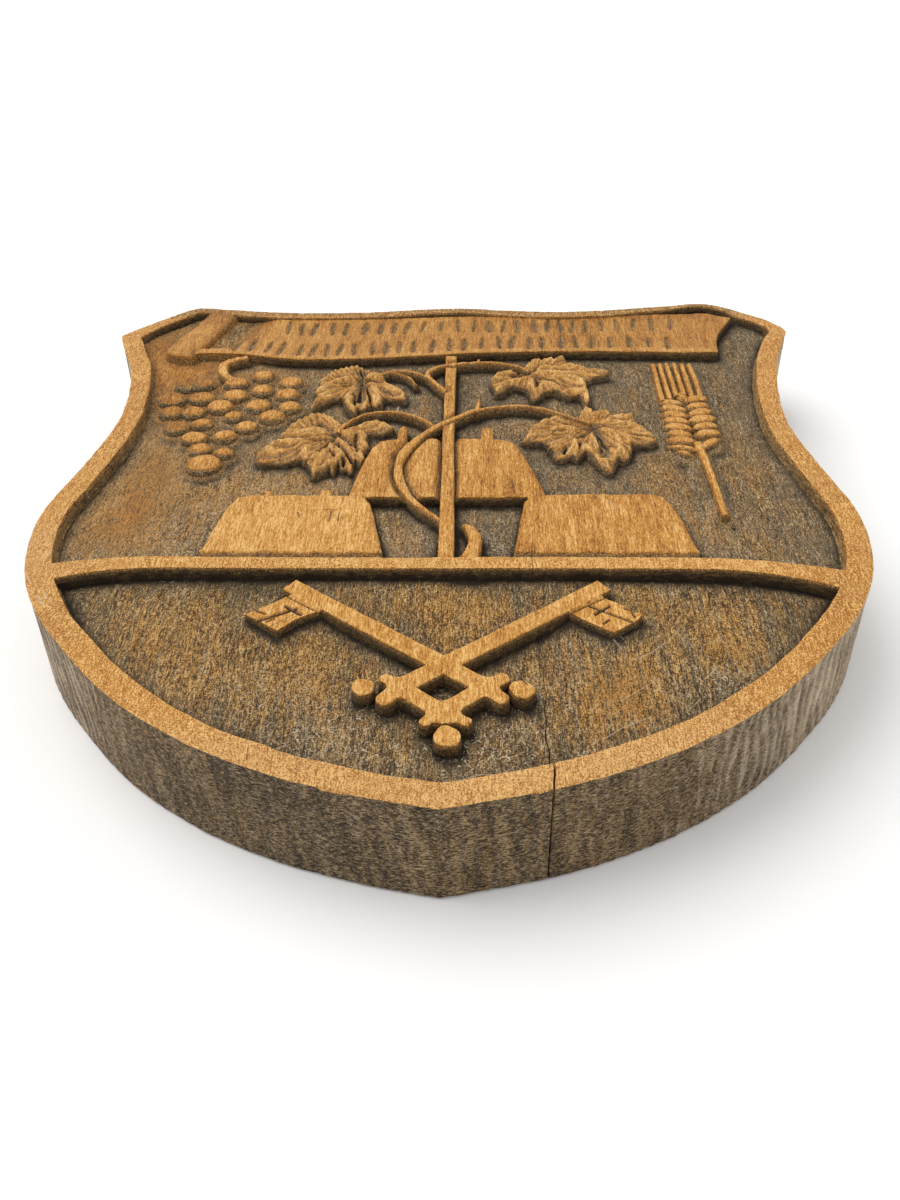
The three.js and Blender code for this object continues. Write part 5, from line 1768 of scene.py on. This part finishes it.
@dataclass
class Wheat:
    """The ear of wheat: kernels in two columns, awns above, a bract and a stalk below."""

    kernel: tuple[float, float, float] = (7.2, 4.1, 5.0)
    lean: float = 0.26
    kernel_lift: float = 0.4
    tip: Spot = (113.2, 82)
    tip_kernel: tuple[float, float, float] = (3.2, 5.0, 4.2)
    awn_widths: Spot = (1.6, 1.4)
    stalk_widths: Spot = (2.1, 1.68)
    bract_widths: Spot = (2.7, 1.9)
    bract_shift: Spot = (2.3, 0.4)
    bract_drop: float = 2.1
    columns: tuple = (((107, 39), (107.2, 75.5), 7), ((120, 45.5), (119.4, 79), 6))
    awns: tuple = (
        ((103, 76), (103.2, 116)), ((106.9, 78), (106.6, 116.4)), ((110.6, 81), (110.2, 116.8)),
        ((114.3, 82), (114.2, 117)), ((118, 80), (118, 116.8)), ((122, 76), (122.4, 100), (121.4, 116)),
    )
    stalk: tuple = ((113.6, 36), (114.6, 28), (115.3, 12), (115.8, -6), (116.2, -24.5))
    shoots: tuple = (
        (106.8, 32.2, 7.4, 2.5, -0.28), (119.4, 36.6, 7.6, 3.0, 0.85), (106.4, 28.2, 4.4, 2.6, -0.6),
    )

    def __post_init__(self) -> None:
        """Lists the lines of the awns, the stalk and its bract, with their half widths and heights."""
        awns = [(curve_through(awn, 6), *self.awn_widths, GROUND_Z) for awn in self.awns]
        stalk = curve_through(self.stalk, 6)
        bract = (stalk - self.bract_shift, *self.bract_widths, GROUND_Z - self.bract_drop)
        self.lines = [*awns, (stalk, *self.stalk_widths, GROUND_Z), bract]

    def kernels(self) -> Surface:
        """Where the kernels are, their sizes and their turns."""
        found = []
        rng = np.random.default_rng(141)
        level = GROUND_Z + self.kernel_lift
        for side, (start, end, count) in zip((1, -1), self.columns):
            for share in np.arange(count) / (count - 1):
                x, y = np.array(start) + (np.array(end) - start) * share
                full = 1 - 0.16 * abs(share - 0.4) + rng.uniform(-0.05, 0.05)
                turn = side * -self.lean + rng.uniform(-0.09, 0.09)
                found.append((x, y, level, *(np.array(self.kernel) * full), turn))
        found.append((*self.tip, level, *self.tip_kernel, 0.0))
        for x, y, length, width, turn in self.shoots:
            found.append((x, y, GROUND_Z, length, width, 3.6 if y < 30 else 4.6, turn))
        kernels = np.array(found)
        return kernels[:, :3], kernels[:, 3:6], kernels[:, 6]

    def measure(self, points: Array) -> Array:
        """Signed distance to the ear."""
        shapes = [line_distance(points, line)[0] - max(start, end) for line, start, end, _ in self.lines]
        spots, _, _ = self.kernels()
        shapes += [disc_distance(points, (x, y), 4.6) for x, y, _ in spots]
        return np.min(shapes, 0)

    def build(self, finish: Material) -> list[Piece]:
        """Makes the kernels, and the awns with the stalk."""
        beads = bead_tree(finish, rings=4, roughness=0.6, height=1.4, cap=5.0)
        cloud = point_cloud("kernels", *self.kernels())
        kernels = beads.apply(cloud, Charge.WHEAT.value, shoulder=41.9, foot_shade=0.5)
        lines = [(line, np.linspace(start, end, len(line)), level) for line, start, end, level in self.lines]
        stems = stem_tree(finish, height=5.0, cap=4.7, facets=14, seed=4.0)
        stalk = stems.apply(line_object("awn_lines", lines), Charge.STALK.value, shoulder=42.2, foot_shade=0.5)
        return [kernels, stalk]


# Finishes


@dataclass(frozen=True)
class Wood:
    """Old waxed limewood: worn tops with painted light, stained grounds, and grime with painted shade in the
    corners.

    The colours are linear, five to a ramp from dark to light. A stretch gives noise cells for each metre
    along x, y and z. Weights say how much fibre, hair, mottle and specks change the tone.
    """

    name: str
    tops: Colours = (
        (0.2, 0.07, 0.012), (0.36, 0.14, 0.022), (0.525, 0.234, 0.041), (0.645, 0.317, 0.069),
        (0.84, 0.52, 0.19),
    )
    warm: Colours = (
        (0.045, 0.026, 0.012), (0.16, 0.083, 0.026), (0.33, 0.155, 0.032), (0.47, 0.245, 0.06),
        (0.68, 0.45, 0.18),
    )
    grey: Colours = (
        (0.04, 0.027, 0.014), (0.1, 0.069, 0.035), (0.165, 0.115, 0.058), (0.255, 0.183, 0.097),
        (0.46, 0.36, 0.21),
    )
    pale: tuple = (0.68, 0.42, 0.19)
    # Near-black that grime and painted shade turn the wood to
    grime_and_shade_colour: tuple = (0.02, 0.014, 0.009)
    scratch_colour: tuple = (0.6, 0.5, 0.36)
    check_colour: tuple = (0.03, 0.018, 0.01)
    fibre: tuple = (1250.0, 100.0, 1250.0)
    hair: tuple = (2400.0, 420.0, 2400.0)
    mottle: tuple = (760.0, 190.0, 760.0)
    speck: tuple = (1700.0, 1700.0, 1700.0)
    blotch: tuple = (36.0, 22.0, 36.0)
    patch: tuple = (150.0, 55.0, 150.0)
    streak: tuple = (430.0, 34.0, 430.0)
    layer: tuple = (260.0, 260.0, 1500.0)
    top_weights: tuple = (1.0, 1.2, 0.5, 1.2)
    ground_weights: tuple = (1.1, 1.7, 0.8, 1.6)
    tone: float = 0.54
    lean: float = 0.0
    streaks: float = 0.8
    scratch: float = 0.0
    paleness: float = 0.0
    relief: float = 0.5

    def build(self) -> Material:
        """Makes the material."""
        finish, nodes = new_material(self.name)
        first, calc, spread, swing, total = nodes.first, nodes.math, nodes.spread, nodes.swing, nodes.total
        mix, ramp = nodes.mix, nodes.ramp
        place = nodes.add("ShaderNodeTexCoord").outputs["Object"]
        warp = nodes.add("ShaderNodeTexNoise", {"Vector": place, "Scale": 38.0, "Detail": 2.0}).outputs[1]
        shifted = nodes.vector("MULTIPLY_ADD", warp, (0.002, 0.012, 0.002), place)
        if self.lean:
            x, y, z = nodes.add("ShaderNodeSeparateXYZ", {0: shifted}).outputs
            sheared = calc("MULTIPLY_ADD", z, self.lean, x)
            shifted = first("ShaderNodeCombineXYZ", {0: sheared, 1: y, 2: z})

        def noise(cells: tuple, detail: float = 2.0) -> Socket:
            """Noise with the given cells for each metre."""
            spot = nodes.vector("MULTIPLY", shifted, cells)
            return first("ShaderNodeTexNoise", {"Vector": spot, "Scale": 1.0, "Detail": detail})

        def grain(weights: tuple) -> Socket:
            """The fine textures, weighted."""
            return total(*(swing(texture, weight) for texture, weight in zip(textures, weights)))

        marks = {title: nodes.add("ShaderNodeAttribute", attribute_name=title).outputs["Fac"]
                 for title in ("wear_and_light", "grime_and_shade", "chalk", "scuff", "scuff_offset", "check", "check_offset")}
        textures = (noise(self.fibre, 3.0), noise(self.hair), noise(self.mottle, 3.0), noise(self.speck))
        hair, mottle, speck = textures[1:]
        blotch, patch = noise(self.blotch, 3.0), noise(self.patch, 3.0)
        fine, coarse = grain(self.top_weights), grain(self.ground_weights)
        # Tone from wear and painted light
        wear_and_light_tone = calc("MULTIPLY", calc("SUBTRACT", marks["wear_and_light"], 0.84), 1.1)
        tops = ramp(total(self.tone, fine, swing(patch, 0.4), swing(blotch, 0.3), wear_and_light_tone), self.tops)
        if self.paleness:
            tops = mix(calc("MULTIPLY", marks["chalk"], self.paleness), tops, self.pale)
            grit = total(swing(speck, 2.5), swing(hair, 1.5), swing(mottle, 0.8))
            tops = mix(spread(grit, -0.06, -0.4, 0.95), tops, self.tops[1])
            tops = mix(spread(grit, 0.04, 0.34, 0.85), tops, self.tops[4])
        depth = total(0.42, coarse, swing(patch, 0.35), calc("MULTIPLY", marks["wear_and_light"], 0.32))
        streak = swing(noise(self.streak), self.streaks)
        heat = spread(total(marks["wear_and_light"], swing(blotch, 0.6), streak, swing(hair, 0.4)), -0.12, 0.36)
        greyish = ramp(depth, self.grey)
        ragged = total(marks["wear_and_light"], calc("MULTIPLY", fine, 0.5))
        bare = mix(spread(ragged, 0.42, 0.62), mix(heat, greyish, ramp(depth, self.warm)), tops)
        layers = swing(noise(self.layer), 0.5)
        # Grime and painted shade grey the wood, and where strong turn it near-black
        dirt_and_shade = total(marks["grime_and_shade"], swing(mottle, 0.4), swing(speck, 0.3), layers)
        cool = calc("MULTIPLY_ADD", heat, -0.4, 1.0)
        final = mix(calc("MULTIPLY", spread(dirt_and_shade, 0.08, 0.5, 0.85), cool), bare, greyish)
        final = mix(spread(dirt_and_shade, 0.42, 0.95, 0.96), final, self.grime_and_shade_colour)
        if self.scratch:
            curl = first("ShaderNodeTexNoise", {"Vector": place, "Scale": 260.0, "Detail": 1.5})
            line = spread(calc("ABSOLUTE", calc("SUBTRACT", curl, 0.5)), 0.021, 0.005)
            thick = spread(total(marks["chalk"], swing(patch, 2.2)), 0.16, 0.62, self.scratch)
            share = calc("MULTIPLY", calc("MULTIPLY", line, thick), spread(speck, 0.44, 0.51))
            final = mix(share, final, self.scratch_colour)
        for title, colour, most in (("scuff", self.scratch_colour, 0.5), ("check", self.check_colour, 0.75)):
            beside = calc("ABSOLUTE", calc("SUBTRACT", marks[title + "_offset"], 0.5))
            inside = spread(total(beside, swing(mottle, 0.1), swing(speck, 0.07)), 0.062, 0.035, most)
            final = mix(calc("MULTIPLY", inside, spread(marks[title], 0.55, 0.7)), final, colour)
        bump = first("ShaderNodeBump", {"Strength": self.relief, "Distance": 0.7 * MM, "Height": coarse})
        gloss = first("ShaderNodeMapRange", {0: ragged, 1: 0.2, 2: 1.0, 3: 0.72, 4: 0.5})
        nodes.finish({"Base Color": final, "Roughness": gloss, "Specular IOR Level": 0.2, "Normal": bump})
        return finish


@dataclass(frozen=True)
class FloorFinish:
    """The pale studio floor."""

    colour: tuple = (0.98, 0.98, 0.98, 1.0)

    def build(self) -> Material:
        """Makes the material."""
        finish, nodes = new_material("studio_floor")
        nodes.finish({"Base Color": self.colour, "Roughness": 0.9, "Specular IOR Level": 0.0})
        return finish


# Studio


@dataclass
class Studio:
    """Floor, light and camera of the product shot."""

    lens: float = 33.6
    position: tuple = (0.01139, -0.41603, 0.30435)
    pitch: float = 38.0
    heading: float = -1.5862
    roll: float = 0.8067
    floor_reach: float = 9.0
    floor_level: float = -0.3
    ambient: float = 0.76
    sun_strength: float = 1.6
    sun_elevation: float = 53.0
    sun_bearing: float = 152.0
    sun_softness: float = 54.0

    def build(self) -> None:
        """Makes the floor, the light and the camera."""
        scene = bpy.context.scene
        mesh = bpy.data.meshes.new("floor")
        reach = self.floor_reach
        corners = ((-reach, -reach), (reach, -reach), (reach, reach * 1.6), (-reach, reach * 1.6))
        mesh.from_pydata([(x, y, self.floor_level * MM) for x, y in corners], [], [(0, 1, 2, 3)])
        mesh.materials.append(FloorFinish().build())
        floor = link("floor", mesh)
        scene.world = bpy.data.worlds.new("studio")
        scene.world.use_nodes = True
        background = scene.world.node_tree.nodes["Background"]
        background.inputs[0].default_value = (1.0, 1.0, 1.0, 1.0)
        background.inputs[1].default_value = self.ambient
        sun = bpy.data.lights.new("window", "SUN")
        sun.energy, sun.angle = self.sun_strength, math.radians(self.sun_softness)
        sun.color = (1.0, 0.975, 0.94)
        height, bearing = math.radians(self.sun_elevation), math.radians(self.sun_bearing)
        plan = math.cos(height)
        towards = Vector((math.cos(bearing) * plan, math.sin(bearing) * plan, math.sin(height)))
        link("window", sun).rotation_euler = towards.to_track_quat("Z", "Y").to_euler()
        self.make_camera()
        scene.view_settings.view_transform = "Standard"

    def make_camera(self) -> None:
        """Makes the camera where the photo was taken from."""
        data = bpy.data.cameras.new("camera")
        data.lens, data.sensor_width, data.sensor_fit = self.lens, 36.0, "AUTO"
        data.clip_start, data.clip_end = 0.01, 60.0
        pitch, heading, roll = (math.radians(v) for v in (self.pitch, self.heading, self.roll))
        plan = math.cos(pitch)
        ahead = Vector((plan * math.sin(heading), plan * math.cos(heading), -math.sin(pitch)))
        across = Vector((math.cos(heading), -math.sin(heading), 0.0))
        down = ahead.cross(across)
        right = math.cos(roll) * across + math.sin(roll) * down
        below = -math.sin(roll) * across + math.cos(roll) * down
        turn = Matrix((right, -below, -ahead)).transposed()
        camera = link("camera", data)
        camera.matrix_world = Matrix.Translation(self.position) @ turn.to_4x4()
        bpy.context.scene.camera = camera


# The whole coat of arms


class CoatOfArms:
    """All the visual pieces of the carved shield."""

    def __init__(self) -> None:
        """Sets out the forms, the ground round them and the board."""
        shield = ShieldOutline(BoardSize())
        self.vine = Vine()
        self.stake = Stake(self.vine)
        self.mounds = Mounds(self.vine, self.stake)
        self.banner, self.roll = Banner(), BannerRoll()
        self.grapes, self.wheat, self.keys = Grapes(), Wheat(), Keys()
        forms = (self.vine, self.stake, self.mounds, self.banner, self.roll, self.grapes, self.wheat,
                 self.keys, *LEAF_FORMS)
        beds = [self.grapes.measure, self.wheat.measure]
        ground = Ground(shield, [form.measure for form in forms], beds, self.keys.bits)
        self.board = ShieldBoard(shield, ground)

    def finish(self) -> None:
        """Makes one finish for each kind of surface."""
        self.rim = Wood("carved_rim", top_weights=(0.3, 0.9, 0.8, 1.8), tone=0.52, paleness=0.6).build()
        self.face = Wood("carved_face", top_weights=(1.3, 1.5, 0.5, 1.2)).build()
        self.leaf_face = Wood("leaf_face", tops=(
            (0.21, 0.082, 0.018), (0.38, 0.165, 0.037), (0.555, 0.272, 0.064), (0.69, 0.375, 0.105),
            (0.9, 0.58, 0.24),
        ), warm=(
            (0.05, 0.031, 0.015), (0.18, 0.1, 0.04), (0.34, 0.18, 0.06), (0.48, 0.275, 0.1),
            (0.68, 0.46, 0.21),
        ), grey=(
            (0.05, 0.036, 0.019), (0.13, 0.092, 0.048), (0.21, 0.15, 0.08), (0.31, 0.225, 0.12),
            (0.52, 0.42, 0.27),
        )).build()
        self.banner_face = Wood("banner_face", tops=(
            (0.16, 0.055, 0.01), (0.3, 0.12, 0.022), (0.45, 0.2, 0.04), (0.56, 0.27, 0.06),
            (0.74, 0.42, 0.13),
        )).build()
        self.upper_ground = Wood("upper_ground", warm=(
            (0.045, 0.027, 0.014), (0.16, 0.086, 0.032), (0.32, 0.162, 0.044), (0.46, 0.255, 0.078),
            (0.68, 0.47, 0.22),
        ), grey=(
            (0.045, 0.033, 0.019), (0.108, 0.079, 0.045), (0.178, 0.131, 0.075), (0.27, 0.204, 0.12),
            (0.5, 0.41, 0.27),
        ), ground_weights=(0.7, 1.6, 0.7, 2.2), scratch=0.8).build()
        self.lower_ground = Wood(
            "lower_ground", ground_weights=(1.1, 2.0, 0.9, 2.4), streaks=1.3, scratch=1.0
        ).build()
        self.side = Wood("carved_side", fibre=(230.0, 230.0, 28.0), hair=(620.0, 620.0, 2600.0), tops=(
            (0.15, 0.11, 0.068), (0.27, 0.2, 0.125), (0.42, 0.32, 0.21), (0.54, 0.42, 0.28),
            (0.7, 0.57, 0.41),
        ), warm=(
            (0.035, 0.021, 0.01), (0.09, 0.055, 0.024), (0.158, 0.096, 0.041), (0.235, 0.15, 0.068),
            (0.38, 0.268, 0.132),
        ), grey=(
            (0.027, 0.018, 0.011), (0.072, 0.049, 0.028), (0.121, 0.085, 0.049), (0.188, 0.136, 0.08),
            (0.33, 0.252, 0.162),
        ), top_weights=(0.9, 1.5, 0.6, 1.0), ground_weights=(1.3, 3.3, 1.2, 1.9), tone=0.5, lean=0.12).build()
        self.back = Wood("sawn_back").build()

    def build(self) -> None:
        """Builds every piece in order, sets it on the frame and reports it."""
        self.finish()
        board = self.board
        self.place(board.build_frame().to_object(Charge.FRAME.value, self.rim, self.side, self.back))
        upper, lower = board.build_field(False), board.build_field(True)
        self.place(upper.to_object(Charge.UPPER_FIELD.value, self.upper_ground))
        self.place(lower.to_object(Charge.LOWER_FIELD.value, self.lower_ground))
        for charge, forms, finish in (
            (Charge.BANNER, [self.banner], self.banner_face), (Charge.ROLL, [self.roll], self.banner_face),
            (Charge.MOUNDS, [self.mounds], self.face), (Charge.STAKE, [self.stake], self.face),
            (Charge.LEAVES, LEAF_FORMS, self.leaf_face), (Charge.KEYS, [self.keys], self.face),
        ):
            skin = Skin()
            for form in forms:
                form.carve(skin)
            self.place(skin.to_object(charge.value, finish))
        stems = stem_tree(self.face, self.vine.steepness, self.vine.cap, facets=20, seed=5.0)
        self.place(stems.apply(self.vine.curve(), Charge.VINE.value))
        self.place(self.grapes.build(self.face))
        for piece in self.wheat.build(self.face):
            self.place(piece)

    def place(self, piece: Piece) -> None:
        """Sets a finished piece on the frame's one body."""
        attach(piece, "root")
        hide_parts("carved_shield")
        LOG.info("%s: %d faces", piece.name, len(piece.data.polygons))


def main() -> None:
    """Builds the scene in order."""
    logging.basicConfig(level=logging.INFO, format="%(message)s")
    Studio().build()
    CoatOfArms().build()
    bpy.context.view_layer.update()


if __name__ == "__main__":
    main()
